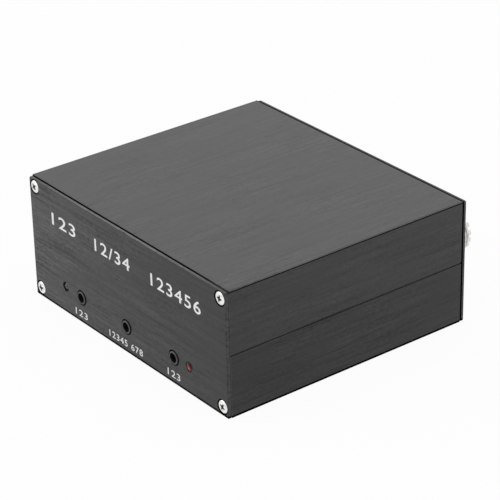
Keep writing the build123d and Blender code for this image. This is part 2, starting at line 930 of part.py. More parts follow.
def relay_contact_spring():
    """The contact leaf on the armature, its tail folded down behind the yoke, with its contact."""
    low = hinge_z + armature_thickness
    high = low + spring_thickness
    half = spring_width / 2
    back = hinge_x - spring_tail_gap
    leaf = block(back - spring_thickness, hinge_x + spring_reach, -half, half, low, high)
    leaf += block(back - spring_thickness, back, -half, half, hinge_z - spring_tail, high)
    x = hinge_x + contact_span
    middle = (low + high) / 2
    half_rivet = spring_thickness / 2 + contact_reach
    leaf += rod(contact_radius, middle - half_rivet, middle + half_rivet, x)
    return tilted(leaf)


def fixed_contact_levels():
    """The faces that the moving contact meets: make contact below, break contact above."""
    middle = hinge_z + armature_thickness + spring_thickness / 2
    half_rivet = spring_thickness / 2 + contact_reach
    make_face_z = middle - half_rivet - contact_gap
    angle = math.radians(armature_travel)
    rise = contact_span * math.sin(angle) + (middle + half_rivet - hinge_z) * math.cos(angle)
    break_face_z = hinge_z + rise + contact_radius * math.sin(angle) + contact_gap
    return make_face_z, break_face_z


def relay_terminals():
    """The two fixed contact terminals and the two coil pins."""
    make_z, break_z = fixed_contact_levels()
    x0, x1 = terminal_x()
    bottom = lead_bottom - board_top
    contact_x = hinge_x + contact_span
    half = terminal_width / 2
    strip_start = x1 - terminal_strip_length
    make_low = make_z - fixed_contact_height
    make = block(x0, x1, -terminal_side - half, -terminal_side + half, bottom, make_low)
    make += block(
        strip_start,
        x1,
        -terminal_side - half,
        half,
        make_low - terminal_thickness,
        make_low,
    )
    make += rod(contact_radius, make_low, make_z, contact_x)
    break_low = break_z + break_contact_height
    brk = block(x0, x1, terminal_side - half, terminal_side + half, bottom, break_low)
    brk += block(
        strip_start,
        x1,
        -half,
        terminal_side + half,
        break_low,
        break_low + spring_thickness,
    )
    brk += rod(contact_radius, break_z, break_low, contact_x)
    pins = [make, brk]
    pin_top = relay_base_height + coil_pin_height
    for x0, x1, y0, y1 in relay_leg_sections()[3:]:
        pins.append(block(x0, x1, y0, y1, bottom, pin_top))
    return pins


# ---- leads inside the box ----
def bent_lead(x, y_start, straight, radius, bend):
    """A lead that leaves a rear socket forwards and bends down to the board."""
    start = (x, y_start, socket_axis)
    y_end = y_start - straight - bend
    path = FilletPolyline(start, (x, y_end, socket_axis), (x, y_end, board_top), radius=bend)
    profile = Plane(origin=start, z_dir=(0, -1, 0)) * RegularPolygon(radius, lead_sides)
    return sweep(profile, path=path)


def coax_lead(x, tail_end):
    return bent_lead(x, rear_outer + tail_end, coax_straight, coax_radius, coax_bend_radius)


def key_wire():
    start = rear_outer + phono_tail_end()
    return bent_lead(key_socket_x, start, key_wire_straight, key_wire_radius, key_wire_bend_radius)


# ---- small parts on the board ----
def supply_capacitors():
    can = Pos(0, 0, capacitor_height / 2) * Cylinder(capacitor_radius, capacitor_height)
    can = chamfer(can.edges().filter_by(GeomType.CIRCLE), capacitor_rim)
    return group(on_board(supply_inlet_x, y) * can for y in capacitor_y)


def regulator():
    """A regulator in its moulded package, with its metal tab and three leads."""
    wide, thick, high = regulator_body
    low = regulator_standoff
    half = wide / 2
    tab_top = low + regulator_tab_height
    package = block(-half, half, -thick, 0, low, low + high)
    package += block(-half, half, 0, regulator_tab_thickness, low, tab_top)
    hole = cross_rod(regulator_hole_radius, -cut_margin, regulator_tab_thickness + cut_margin)
    package -= Pos(0, 0, (low + high + tab_top) / 2) * hole
    bottom = lead_bottom - board_top
    lead = regulator_lead_width / 2
    middle = -thick / 2
    for step in (-1, 0, 1):
        x = step * regulator_lead_pitch
        package += block(x - lead, x + lead, middle - lead, middle + lead, bottom, low)
    return on_board(key_socket_x, regulator_y) * package


def axial_part(radius, length):
    """A lying axial part along X with its square leads turned down through the board."""
    lead = axial_lead_radius
    reach = axial_lead_span / 2 + lead
    flat_down = Rot(0, 0, 180 / small_sides)
    body = Rot(0, 90, 0) * flat_down * faceted_rod(radius, -length / 2, length / 2)
    body += block(-reach, reach, -lead, lead, -lead, lead)
    drop = lead_bottom - board_top - radius
    for side in (-1, 1):
        x = side * axial_lead_span / 2
        body += block(x - lead, x + lead, -lead, lead, drop, lead)
    return Pos(0, 0, radius * math.cos(math.pi / small_sides)) * body


def diode_places():
    gap = relay_width / 2 + diode_radius + diode_to_relay
    return [(x, y - gap) for x, y in relay_places.values()]


def relay_diodes():
    diode = axial_part(diode_radius, diode_length)
    return group(on_board(x, y) * diode for x, y in diode_places())


def resistor_places():
    first = relay_y - relay_width / 2 - resistor_to_relay
    return [(resistor_x, first - step * resistor_pitch) for step in range(resistor_count)]


def resistors():
    piece = axial_part(resistor_radius, resistor_length)
    return group(on_board(x, y) * piece for x, y in resistor_places())


# ---- circuit board, holed for every lead ----
def board_holes():
    """Plan rectangles (x0, x1, y0, y1) of the leads that pass through the board."""
    holes = []
    for relay_x, relay_mid in relay_places.values():
        for x0, x1, y0, y1 in relay_leg_sections():
            holes.append((relay_x + x0, relay_x + x1, relay_mid + y0, relay_mid + y1))
    _, far, leaf_back = jack_leaf_span()
    for jack_x in jack_places():
        for side, start in jack_leaves():
            y = front_outer - start
            edges = sorted((jack_x - side * far, jack_x - side * leaf_back))
            holes.append((edges[0], edges[1], y, y + jack_leg_width))
    half = lamp_lead_width / 2
    for lamp_x in (clear_lamp_x, red_lamp_x):
        for side in (-1, 1):
            x = lamp_x + side * lamp_lead_pitch / 2
            y = front_outer + lamp_sink + lamp_length + lamp_lead_run
            holes.append((x - half, x + half, y - lamp_lead_width, y))
    leg_front = rear_outer + inlet_proud - inlet_length - inlet_leg_gap
    half = inlet_leg_width / 2
    leg_back = leg_front - inlet_leaf_thickness
    holes.append((supply_inlet_x - half, supply_inlet_x + half, leg_back, leg_front))
    start = rear_outer + inlet_proud - inlet_bore_depth - inlet_leaf_set_back
    leaf = inlet_leaf_width / 2
    leaf_end = start + inlet_leaf_thickness
    holes.append((supply_inlet_x - leaf, supply_inlet_x + leaf, start, leaf_end))
    for step in (-1, 0, 1):
        x = key_socket_x + step * regulator_lead_pitch
        y = regulator_y - regulator_body[1] / 2
        lead = regulator_lead_width / 2
        holes.append((x - lead, x + lead, y - lead, y + lead))
    lead = axial_lead_radius
    half_span = axial_lead_span / 2
    for x, y in diode_places() + resistor_places():
        for side in (-1, 1):
            at = x + side * half_span
            holes.append((at - lead, at + lead, y - lead, y + lead))
    return holes


def main_board():
    board = block(
        -board_half_width,
        board_half_width,
        board_front,
        board_rear,
        board_bottom,
        board_top,
    )
    gap = lead_hole_clearance
    low = board_bottom - cut_margin
    high = board_top + cut_margin
    cutters = [
        block(x0 - gap, x1 + gap, y0 - gap, y1 + gap, low, high)
        for x0, x1, y0, y1 in board_holes()
    ]
    return board - cutters


# ---- the whole box, one entry for each node ----
parts = {
    "lower_shell": lower_shell(),
    "upper_shell": upper_shell(),
    "front_panel": front_panel(),
    "rear_panel": rear_panel(),
    "front_panel_screws": panel_screws(on_front),
    "rear_panel_screws": panel_screws(on_rear),
    "main_board": main_board(),
}

for name, jack_x in zip(("left_jack", "middle_jack", "right_jack"), jack_places()):
    place = on_front(jack_x, jack_axis)
    parts[name + "_housing"] = place * jack_housing()
    parts[name + "_contacts"] = group(place * leaf for leaf in jack_contacts())

lamp_places = {
    "clear_lamp": on_front(clear_lamp_x, lamp_axis),
    "red_lamp": on_front(red_lamp_x, lamp_axis),
}
for name, place in lamp_places.items():
    parts[name + "_lens"] = place * lamp_lens()
parts["lamp_leads"] = group(place * lead for place in lamp_places.values() for lead in lamp_leads())

for name, place in zip(("aerial_socket", "transceiver_socket"), radio_socket_places()):
    parts[name + "_body"] = place * uhf_body()
    parts[name + "_insulator"] = place * uhf_insulator()
    parts[name + "_contact"] = place * uhf_contact()
bolt_spots = [place * bolt for place in radio_socket_places() for bolt in bolt_places()]
parts["socket_flange_bolts"] = group(spot * flange_bolt() for spot in bolt_spots)
parts["socket_flange_nuts"] = group(spot * flange_nut() for spot in bolt_spots)

receiver_place = on_rear(receiver_socket_x, socket_axis)
parts["receiver_socket_body"] = receiver_place * sma_body()
parts["receiver_socket_insulator"] = receiver_place * sma_insulator()
parts["receiver_socket_contact"] = receiver_place * sma_contact()
parts["receiver_socket_washer"] = receiver_place * sma_washer()
parts["receiver_socket_nut"] = receiver_place * sma_nut()

key_place = on_rear(key_socket_x, socket_axis)
parts["key_socket_shell"] = key_place * phono_shell()
parts["key_socket_insulator"] = key_place * phono_insulator()
parts["key_socket_contact"] = key_place * phono_contact()
parts["key_socket_nut"] = key_place * phono_nut()

inlet_place = on_rear(supply_inlet_x, inlet_axis)
parts["supply_inlet_housing"] = inlet_place * inlet_housing()
parts["supply_inlet_pin"] = inlet_place * inlet_pin()
parts["supply_inlet_spring"] = inlet_place * inlet_spring()

for name, (relay_x, relay_mid) in relay_places.items():
    place = on_board(relay_x, relay_mid)
    parts[name + "_cover"] = place * relay_cover()
    parts[name + "_base"] = place * relay_base()
    parts[name + "_yoke"] = place * relay_yoke()
    parts[name + "_bobbin"] = place * relay_bobbin()
    parts[name + "_winding"] = place * relay_winding()
    parts[name + "_armature"] = place * relay_armature()
    parts[name + "_contact_spring"] = place * relay_contact_spring()
    parts[name + "_terminals"] = group(place * pin for pin in relay_terminals())

parts["aerial_lead"] = coax_lead(aerial_socket_x, uhf_tail_end())
parts["transceiver_lead"] = coax_lead(transceiver_socket_x, uhf_tail_end())
parts["receiver_lead"] = coax_lead(receiver_socket_x, sma_tail_end())
parts["key_wire"] = key_wire()

parts["supply_capacitors"] = supply_capacitors()
parts["regulator"] = regulator()
parts["relay_diodes"] = relay_diodes()
parts["resistors"] = resistors()

os.makedirs("parts", exist_ok=True)
for name, shape in parts.items():
    export_step(shape, f"parts/{name}.step")
print(len(parts), "nodes")
for name, (relay_x, relay_mid) in relay_places.items():
    print(name, "hinge at", relay_x + hinge_x, relay_mid, board_top + hinge_z)
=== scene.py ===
from math import asin, cos, pi, radians, sin

import bpy
from mathutils import Matrix, Vector


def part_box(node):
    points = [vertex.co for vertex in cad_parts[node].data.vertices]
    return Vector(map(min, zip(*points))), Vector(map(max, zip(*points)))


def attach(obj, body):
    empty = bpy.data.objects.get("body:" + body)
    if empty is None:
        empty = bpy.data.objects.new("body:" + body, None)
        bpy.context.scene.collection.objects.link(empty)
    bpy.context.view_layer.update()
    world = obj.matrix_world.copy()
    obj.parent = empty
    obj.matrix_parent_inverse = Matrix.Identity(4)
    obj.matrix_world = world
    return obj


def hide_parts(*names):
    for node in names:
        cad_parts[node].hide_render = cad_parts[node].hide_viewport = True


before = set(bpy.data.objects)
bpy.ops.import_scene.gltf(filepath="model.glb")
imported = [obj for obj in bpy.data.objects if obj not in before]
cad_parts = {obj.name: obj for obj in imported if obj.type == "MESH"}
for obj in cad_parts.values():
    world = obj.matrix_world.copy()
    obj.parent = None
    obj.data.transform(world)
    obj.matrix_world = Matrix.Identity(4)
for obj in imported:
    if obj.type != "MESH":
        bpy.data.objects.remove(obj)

# Dresses the antenna changeover box: brushed black shells and panels, corner screws, jacks and
# lamps in front, threaded radio sockets behind, and the circuit board with its parts inside.
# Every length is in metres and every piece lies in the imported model's own frame.

bl_info = {
    "name": "Antenna Changeover Box",
    "version": (1, 0, 0),
    "blender": (4, 5, 0),
    "location": "3D View > Sidebar > Changeover Box",
    "description": "Gives the packed changeover box its finishes, fittings, lamps and stage",
    "category": "Object",
}

CASE = "case"
MM = 0.001
FULL_TURN = 2 * pi
HALF_TURN = pi
QUARTER_TURN = pi / 2
MERGE_DISTANCE = 2e-7
CORNER_ANGLE = radians(32)
LINE_BLUR = 0.00004  # half the soft edge of a painted line
FINE_BLUR = 0.00002  # the same for the sharpest lines
SKIN_RELIEF = 0.00002  # depth of a moulded skin's bumps
BLACK = (0.0, 0.0, 0.0)
# Black of the dark seam, and of painted shade in grooves, lines, countersinks and at the foot.
SHADE_AND_JOINT_BLACK = (0.001, 0.001, 0.001)
# Radii of a lamp's painted highlight core and of its painted shade edge.
LAMP_RADII = (0.0003, 0.0009, 0.0011, 0.0018)  # a lamp's light core and dark edge, in and out
WHITE_LIGHT = (1.0, 1.0, 1.0, 1.0)
# Room above a plain face's dye for painted highlights on rims.
HIGHLIGHT_ROOM = 0.5  # share of its strongest dye that a plain face shows, so that a rim can be lighter
PANEL_LOW, PANEL_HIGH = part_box("front_panel")
FRONT_FACE = PANEL_LOW.y
REAR_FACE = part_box("rear_panel")[1].y
CASE_LOW, CASE_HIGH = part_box("lower_shell")[0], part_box("upper_shell")[1]
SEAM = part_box("upper_shell")[0].z
FOOT_HEIGHT = 0.61 * MM  # height of a panel's lower edge, which comes down to the shells' foot
FOOT_CLEARANCE = 0.1 * MM  # how far that edge stays off the screws' countersinks


def middle_of(node):
    """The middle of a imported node's box."""
    low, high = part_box(node)
    return (low + high) / 2


# ---- settings ----
def number(name, description, default, **limits):
    return bpy.props.FloatProperty(name=name, description=description, default=default, **limits)


def length(name, description, default):
    return number(name, description, default, unit="LENGTH", precision=5)


def share(name, description, default):
    return number(name, description, default, min=0.0, max=1.0, subtype="FACTOR")


def angle(name, description, default):
    return number(name, description, radians(default), subtype="ANGLE")


def colour(name, description, default):
    return bpy.props.FloatVectorProperty(
        name=name, description=description, default=default, size=3, min=0.0, max=1.0,
        subtype="COLOR",
    )


class BoxFinishSettings(bpy.types.PropertyGroup):
    """Colours and grain of the shells, panels and plated metal, and the light and shade painted on
    them.
    """

    anodised: colour("Anodised black", "Dye colour of the shells", (0.0765, 0.0738, 0.0750))
    panel: colour("Panel black", "Dye colour of the two end panels", (0.0600, 0.0592, 0.0600))
    roughness: share("Roughness", "How matt the brushed faces are", 0.40)
    top_grain: share("Top grain", "How far the brushed lines differ in tone on top", 0.30)
    side_grain: share("Side grain", "How far the brushed lines differ on the upper sides", 0.34)
    low_grain: share("Lower grain", "How far the brushed lines differ on the lower sides", 0.55)
    panel_grain: share("Panel grain", "How far the brushed lines differ on the panels", 0.90)
    # Side shade, lower shade and side rise are painted shade and light on the shells' sides.
    side_shade: share("Side shade", "How much darker the shells' sides are dyed", 0.435)
    low_shade: share("Lower shade", "How much darker the lower shell's sides are dyed", 0.18)
    side_rise: share("Side rise", "How much lighter the sides get towards the rear", 0.06)
    # Painted light on the panels' upright edges.
    end_dye: share("End dye", "How light the panels' upright edges stay", 0.84)
    # Painted shade at the panels' right end.
    end_fade: share("End fade", "How much darker the panels are close to their right end", 0.14)
    # Painted light on the rear panel, and painted shade on its top edge.
    rear_dye: share("Rear dye", "How light the rear panel stays at the least", 0.80)
    rear_top: share("Rear top", "How much darker the rear panel's top edge is dyed", 0.58)
    # Rim is a painted highlight on the shells' top rims and at the front groove's right end.
    rim: number("Rim", "How light the rubbed top rims are", 1.6, min=0.0, max=2.0)
    # Painted highlight on the front panel's top rim.
    panel_rim: number(
        "Panel rim", "How light the front panel's rubbed rim is", 1.68, min=0.0, max=2.0
    )
    # Painted light on the shells' upright front edges.
    worn_end: share("Worn end", "How light the shells' upright front edges are", 0.62)
    # Painted shade that darkens each panel along its length.
    fade: share("Panel fade", "How far the dye darkens along a panel", 0.66)
    hairline: length("Hairline", "Width of the finest brushed lines", 0.00075)
    strand: length("Strand", "Width of the bundles of brushed lines", 0.0017)
    band: length("Band", "Width of the broad shaded bands", 0.0045)
    stroke: length("Stroke", "Length of one brush stroke", 0.018)
    fleck: length("Fleck", "Length of the breaks in the brushed lines", 0.0018)
    patch: length("Patch", "Size of the patches where the lines show more or less", 0.014)
    seam: length("Seam", "Half the width of the dark seam", 0.00017)
    seam_drop: length("Seam drop", "Middle of the dark seam below the shells' joint", 0.00014)
    # Edge and edge drop place a painted shade line below the top edges; foot is a painted shadow.
    edge: length("Edge", "Half the width of the dark line along the top edges", 0.00020)
    edge_drop: length(
        "Edge drop", "Middle of the dark line along the top edges below the top", 0.00060
    )
    foot: length("Foot", "Height of the dark line at the shells' foot", 0.00095)
    # Painted shadow at the panels' foot.
    panel_foot: length("Panel foot", "Height of the dark line at the panels' foot", 0.00115)
    # Painted shade at the back of the front panel's top.
    panel_back: length("Panel back", "Depth of the black at the back of the front panel", 0.00020)
    # Painted shade line under the front panel's rim.
    under_rim: share("Under rim", "How much darker the front panel is under its rim", 0.50)
    round_edge: length("Round edge", "Radius of the shells' rounded edges", 0.0003)
    # Widths of the painted shade in the grooves before the panels.
    front_groove: length("Front groove", "Width of the groove before the front panel", 0.00035)
    rear_groove: length("Rear groove", "Width of the groove before the rear panel", 0.0007)
    steel: colour("Steel", "Colour of the corner screws", (0.88, 0.87, 0.85))
    nickel: colour("Nickel", "Colour of the nickel-plated sockets", (0.81, 0.79, 0.755))
    gold: colour("Gold", "Colour of the gold-plated contacts", (0.83, 0.60, 0.27))
    tin: colour("Tin", "Colour of leads and solder", (0.62, 0.61, 0.59))
    ink: colour("Ink", "Colour of the printed figures", (0.98, 0.98, 0.98))


class BoxFittingSettings(bpy.types.PropertyGroup):
    """Sizes of the screws, lamps and printed figures."""

    screw_inset_x: length("Screw inset across", "Corner screw to the panel's side", 0.0031)
    screw_inset_z: length("Screw inset upwards", "Corner screw to the panel's top or foot", 0.00305)
    screw_head: length("Corner screw head", "Radius of a corner screw's head", 0.0023)
    screw_sink: length("Corner screw sink", "Edge of a corner screw below its panel", 0.00015)
    screw_crown: length(
        "Corner screw crown", "Height of a corner screw's raised head over its edge", 0.0003
    )
    screw_core: length("Corner screw core", "Radius of a corner screw's shank", 0.00142)
    screw_reach: length("Corner screw length", "Length of a corner screw below its head", 0.0090)
    screw_cross: length("Corner screw cross", "Span of a corner screw's recess", 0.0028)
    screw_mouth: length("Corner screw mouth", "Radius of a corner screw's countersink", 0.0028)
    lens: length("Lens", "Radius of a lamp's lens", 0.0017)
    dome: length("Lens dome", "Radius of the ball that the lens's tip is part of", 0.0022)
    red_lens: length("Red lens", "Radius of the red lens", 0.00175)
    red_dome: length(
        "Red lens dome", "Radius of the ball that the red lens's tip is part of", 0.0033
    )
    red_proud: length("Red lens proud", "How much further out the red lens is cast", 0.00043)
    # The red lens's painted highlight core sits this far below its axis.
    red_core_drop: length(
        "Red core drop", "Middle of the red lens's lighter core below its axis", 0.00055
    )
    lens_flange: length("Lens flange", "Radius of a lamp's flange", 0.0021)
    lens_flange_height: length("Lens flange height", "Thickness of a lamp's flange", 0.0010)
    figure: length("Figure height", "Height of the upper figures", 0.0046)
    label: length("Label height", "Height of the figures under the jacks", 0.0025)
    figure_foot: length("Figure foot", "Foot of the upper figures over the panel's foot", 0.0324)
    label_foot: length("Label foot", "Foot of the lower figures over the panel's foot", 0.0020)
    ink_depth: length("Ink depth", "Thickness of the printed ink", 0.00003)


class BoxSocketSettings(bpy.types.PropertyGroup):
    """Sizes of the sockets on the rear panel."""

    thread: length("Thread radius", "Crest radius of a radio socket's thread", 0.00794)
    pitch: length("Thread pitch", "Pitch of a radio socket's thread", 0.001058)
    rim: length("Rim radius", "Radius of the notched rim", 0.00754)
    rim_height: length("Rim height", "Length of the notched rim", 0.0015)
    mouth: length("Mouth radius", "Radius of a radio socket's mouth", 0.0060)
    spigot: length("Spigot radius", "Radius of the part that passes the panel", 0.0065)
    rear_bore: length("Rear bore", "Radius of the bore behind the mouth", 0.0049)
    notches: bpy.props.IntProperty(
        name="Notches", description="Notches round a radio socket's rim", default=16, min=4
    )
    flange: length("Flange thickness", "Thickness of a radio socket's flange", 0.0018)
    flange_corner: length("Flange corner", "Corner radius of a radio socket's flange", 0.0015)
    spacing: length("Screw spacing", "Side of the square of flange screws", 0.0183)
    bolt: length("Flange screw", "Radius of a flange screw's shank", 0.00145)
    bolt_hole: length("Flange hole", "Radius of the flange's holes", 0.00165)
    bolt_head: length("Flange screw head", "Radius of a flange screw's head", 0.00275)
    bolt_crown: length("Flange screw crown", "Height of a flange screw's head", 0.0017)
    small_thread: length(
        "Receiver thread radius", "Crest radius of the receiver socket's thread", 0.003175
    )
    small_relief: length(
        "Receiver relief", "Radius of the receiver socket's plain part under its nut", 0.00285
    )
    small_pitch: length("Receiver thread pitch", "Pitch of the receiver socket's thread", 0.000706)
    small_bore: length("Receiver bore", "Radius of the receiver socket's bore", 0.00205)
    small_across: length(
        "Receiver hexagon", "Width of the receiver socket's nut over the flats", 0.0080
    )
    small_nut: length("Receiver nut", "Height of the receiver socket's nut", 0.0020)
    washer: length("Washer radius", "Radius of the lock washer", 0.0045)
    washer_height: length("Washer height", "Thickness of the lock washer", 0.0006)


class BoxStageSettings(bpy.types.PropertyGroup):
    """Camera place, lamps and floor."""

    azimuth: angle("Azimuth", "Camera's turn from the front, towards +X", 52.645)
    elevation: angle("Elevation", "Camera's height over the horizon", 27.222)
    roll: angle("Roll", "Camera's turn about its own axis", -1.280)
    distance: length("Distance", "Camera to the middle of the view", 0.777856)
    lens: number("Lens", "Focal length on a 36 mm sensor", 160.95)
    view_x: length("View middle X", "Middle of the view, along X", 0.002404)
    view_z: length("View middle Z", "Middle of the view, over the floor", 0.02337)
    floor: colour("Floor", "Colour of the floor", (0.90, 0.90, 0.90))
    paper_glow: share("Paper glow", "How white the floor looks to the camera", 0.95)
    sky: share("Sky", "Strength of the even light from all round", 0.45)
    overhead: number(
        "Overhead lamp", "Power of the lamp above the box", 8.95, min=0.0, unit="POWER"
    )
    side: number("Side lamp", "Power of the lamp at the front left", 9.0, min=0.0, unit="POWER")


# ---- finishes: numbers that vary over a surface, and the nodes that make them ----
def arithmetic(operation, reflected=False):
    """A method of Reading that combines it with a number or another reading."""
    def combine(self, other=0.0):
        terms = (other, self) if reflected else (self, other)
        sums = self.recipe.node("ShaderNodeMath", {"operation": operation}, dict(enumerate(terms)))
        return Reading(self.recipe, sums.outputs[0])
    return combine


class Reading:
    """A number that varies over a surface. Arithmetic on it adds Math nodes."""

    __abs__ = arithmetic("ABSOLUTE")
    __add__ = arithmetic("ADD")
    __sub__ = arithmetic("SUBTRACT")
    __rsub__ = arithmetic("SUBTRACT", reflected=True)
    __mul__ = arithmetic("MULTIPLY")
    __mod__ = arithmetic("MODULO")
    lower = arithmetic("MINIMUM")
    higher = arithmetic("MAXIMUM")

    def __init__(self, recipe, socket):
        self.recipe = recipe
        self.socket = socket

    def distance_from(self, other):
        return abs(self - other)

    def beyond(self, limit, blur=LINE_BLUR):
        """1 where the number is over a limit, 0 where it is under."""
        return self.ramp(limit - blur, limit + blur)

    def within(self, middle, reach, blur=LINE_BLUR):
        """1 within a reach of a middle value, 0 outside it."""
        return 1.0 - self.distance_from(middle).beyond(reach, blur)

    def ramp(self, low, high):
        """Rises smoothly from 0 at low to 1 at high."""
        step = self.recipe.node(
            "ShaderNodeMapRange",
            {"interpolation_type": "SMOOTHSTEP"},
            {"Value": self, "From Min": low, "From Max": high},
        )
        return Reading(self.recipe, step.outputs[0])


class Recipe:
    """The finish of a material or a world in the making."""

    def __init__(self, owner):
        owner.use_nodes = True
        owner.node_tree.nodes.clear()
        self.owner = owner
        self.tree = owner.node_tree

    def node(self, kind, settings, inputs):
        """Adds a node: its settings first, then the values or links of its sockets."""
        made = self.tree.nodes.new(kind)
        for name, value in settings.items():
            setattr(made, name, value)
        for name, value in inputs.items():
            source = value.socket if isinstance(value, Reading) else value
            if isinstance(source, bpy.types.NodeSocket):
                self.tree.links.new(source, made.inputs[name])
            else:
                made.inputs[name].default_value = source
        return made

    def position(self):
        return self.node("ShaderNodeTexCoord", {}, {}).outputs["Object"]

    def place(self):
        """The place on the piece, as three readings in metres."""
        parts = self.node("ShaderNodeSeparateXYZ", {}, {0: self.position()})
        return [Reading(self, output) for output in parts.outputs]

    def noise(self, size, detail=2.0, shift=(0.0, 0.0, 0.0)):
        """Soft noise in grains of a size: one number, or three for X, Y and Z."""
        sides = [size] * 3 if isinstance(size, float) else size
        scale = tuple(1 / side for side in sides)
        stretched = self.node(
            "ShaderNodeMapping", {}, {"Vector": self.position(), "Scale": scale, "Location": shift}
        )
        cloud = self.node(
            "ShaderNodeTexNoise",
            {"noise_dimensions": "3D"},
            {"Vector": stretched.outputs[0], "Scale": 1.0, "Detail": detail},
        )
        return Reading(self, cloud.outputs[0])

    def mixed(self, factor, first, second):
        """A colour between two others, each three numbers or a socket."""
        tones = [(*tone, 1.0) if isinstance(tone, tuple) else tone for tone in (first, second)]
        mix = self.node(
            "ShaderNodeMix", {"data_type": "RGBA"}, {0: factor, 6: tones[0], 7: tones[1]}
        )
        return mix.outputs[2]

    def bump(self, height, distance, strength=1.0):
        return self.node(
            "ShaderNodeBump", {}, {"Height": height, "Distance": distance, "Strength": strength}
        ).outputs[0]

    def skin(self, grain, spread, roughness, strength=0.3):
        """The inputs that give a surface a fine skin, rough by at least that much."""
        relief = self.noise(grain)
        return {
            "Roughness": relief * spread + roughness,
            "Normal": self.bump(relief, SKIN_RELIEF, strength),
        }

    def surface(self, inputs):
        """Adds the shader and its output, and gives the finish back."""
        shader = self.node("ShaderNodeBsdfPrincipled", {}, inputs)
        self.node("ShaderNodeOutputMaterial", {}, {"Surface": shader.outputs[0]})
        return self.owner


def new_finish(name):
    return Recipe(bpy.data.materials.new(name + "_finish"))


def finish_called(name):
    """A finish that an earlier operator has made."""
    return bpy.data.materials[name + "_finish"]


def tint(base, factor):
    """A colour made lighter or darker."""
    return tuple(min(1.0, part * factor) for part in base)


def brushed_finish(name, base, settings, fittings, grain_along, shade):
    """Anodised aluminium with brushed lines along one axis ("X" or "Y").

    The shade gives how much of the dye's colour painted light and shade leave at a place, where
    it is painted black for shade or the dark seam, and how strongly the brushed lines show.
    """
    recipe = new_finish(name)

    def lines(width, stroke, shift):
        size = [width] * 3
        size["XYZ".index(grain_along)] = stroke
        return recipe.noise(size, 2.0, shift)

    hair = lines(settings.hairline, settings.stroke, (3.1, 0.4, 7.7))
    fleck = lines(settings.hairline, settings.fleck, (8.8, 2.9, 1.2))
    strand = lines(settings.strand, settings.stroke * 2.0, (9.2, 5.1, 2.6))
    band = lines(settings.band, settings.stroke * 6.0, (1.7, 8.3, 4.4))
    scratch = lines(settings.hairline, settings.stroke * 0.6, (6.5, 2.2, 0.9)).ramp(0.66, 0.76)
    patch = lines(settings.patch, settings.patch * 2.0, (5.5, 0.7, 3.9)).ramp(0.38, 0.62)
    grain = (hair - 0.5) * 1.3 + (fleck - 0.5) * 1.3 + (strand - 0.5) * 1.2 + (band - 0.5) * 0.5
    grain = (grain + scratch * 0.25) * (patch * 0.8 + 0.6)
    left, joint_and_painted_shade, bite = shade(recipe, settings, fittings)
    tone = (grain * bite + 0.5).lower(1.0).higher(0.0)
    dye = recipe.mixed(tone, BLACK, tint(base, 2.0 / HIGHLIGHT_ROOM))
    # The dye under painted light and shade.
    dye_under_painted_light = recipe.mixed(left * HIGHLIGHT_ROOM, BLACK, dye)
    return recipe.surface({
        # Painted black for painted shade and the dark seam, metallic so that it reflects nothing.
        "Base Color": recipe.mixed(joint_and_painted_shade, dye_under_painted_light, SHADE_AND_JOINT_BLACK),
        "Metallic": joint_and_painted_shade,
        "Roughness": (grain * 0.12 + settings.roughness).higher(joint_and_painted_shade),
        "Normal": recipe.bump(hair * 0.6 + strand * 0.4, 0.00006, 0.35),
        "Specular IOR Level": 0.3,
    })


def shell_shade(recipe, settings, _):
    """The shells: sides darkened by painted shade, black seam, painted shade in grooves and on
    edges.
    """
    x, y, z = recipe.place()
    out = x.distance_from(0.0)
    side = out.beyond(CASE_HIGH.x - settings.round_edge / 2, settings.round_edge / 2)
    lower = 1.0 - z.beyond(SEAM)
    # Painted shade on the sides, darker on the lower shell, and painted light rising towards the
    # rear.
    left = 1.0 - side * (lower * settings.low_shade + settings.side_shade)
    left = left + side * y * (settings.side_rise / CASE_HIGH.y)
    # Painted highlight along the top strip of each side, above the dark edge line.
    rim = z.beyond(CASE_HIGH.z - settings.edge_drop + settings.edge).lower(side)
    left = left.higher(rim * settings.rim)
    side_bite = lower * (settings.low_grain - settings.side_grain) + settings.side_grain
    bite = side * (side_bite - settings.top_grain) + settings.top_grain
    seam = z.within(SEAM - settings.seam_drop, settings.seam)
    # Painted shade: a dark line under the long top edges, and a painted shadow at the foot; the
    # seam is the dark joint.
    edge = z.within(CASE_HIGH.z - settings.edge_drop, settings.edge)
    foot = 1.0 - z.beyond(CASE_LOW.z + settings.foot)
    lines = seam.higher(edge).higher(foot).lower(side)
    wall = 0.00003
    # Painted shade: black in the groove before the front panel, fading towards the right end.
    front = 1.0 - y.beyond(CASE_LOW.y + settings.front_groove + wall, FINE_BLUR)
    under = 1.0 - z.beyond(CASE_HIGH.z - settings.round_edge * 0.7, FINE_BLUR)
    lit_from, lit_to = CASE_HIGH.x * 0.60, CASE_HIGH.x * 0.92
    lit_end = x.ramp(lit_from, lit_to)
    # Painted light on the sides' front edges, and at the groove's right end.
    left = left.higher(front * side * settings.worn_end)
    left = left.higher(front * lit_end * (1.0 - side) * settings.rim)
    front = front.lower(1.0 - side).lower(under) * (1.0 - lit_end * 0.95)
    # Painted shade: black in the groove before the rear panel.
    last = y + (1.0 - side) * settings.round_edge
    rear = last.beyond(CASE_HIGH.y - settings.rear_groove - wall, FINE_BLUR)
    return left, lines.higher(front).higher(rear), bite


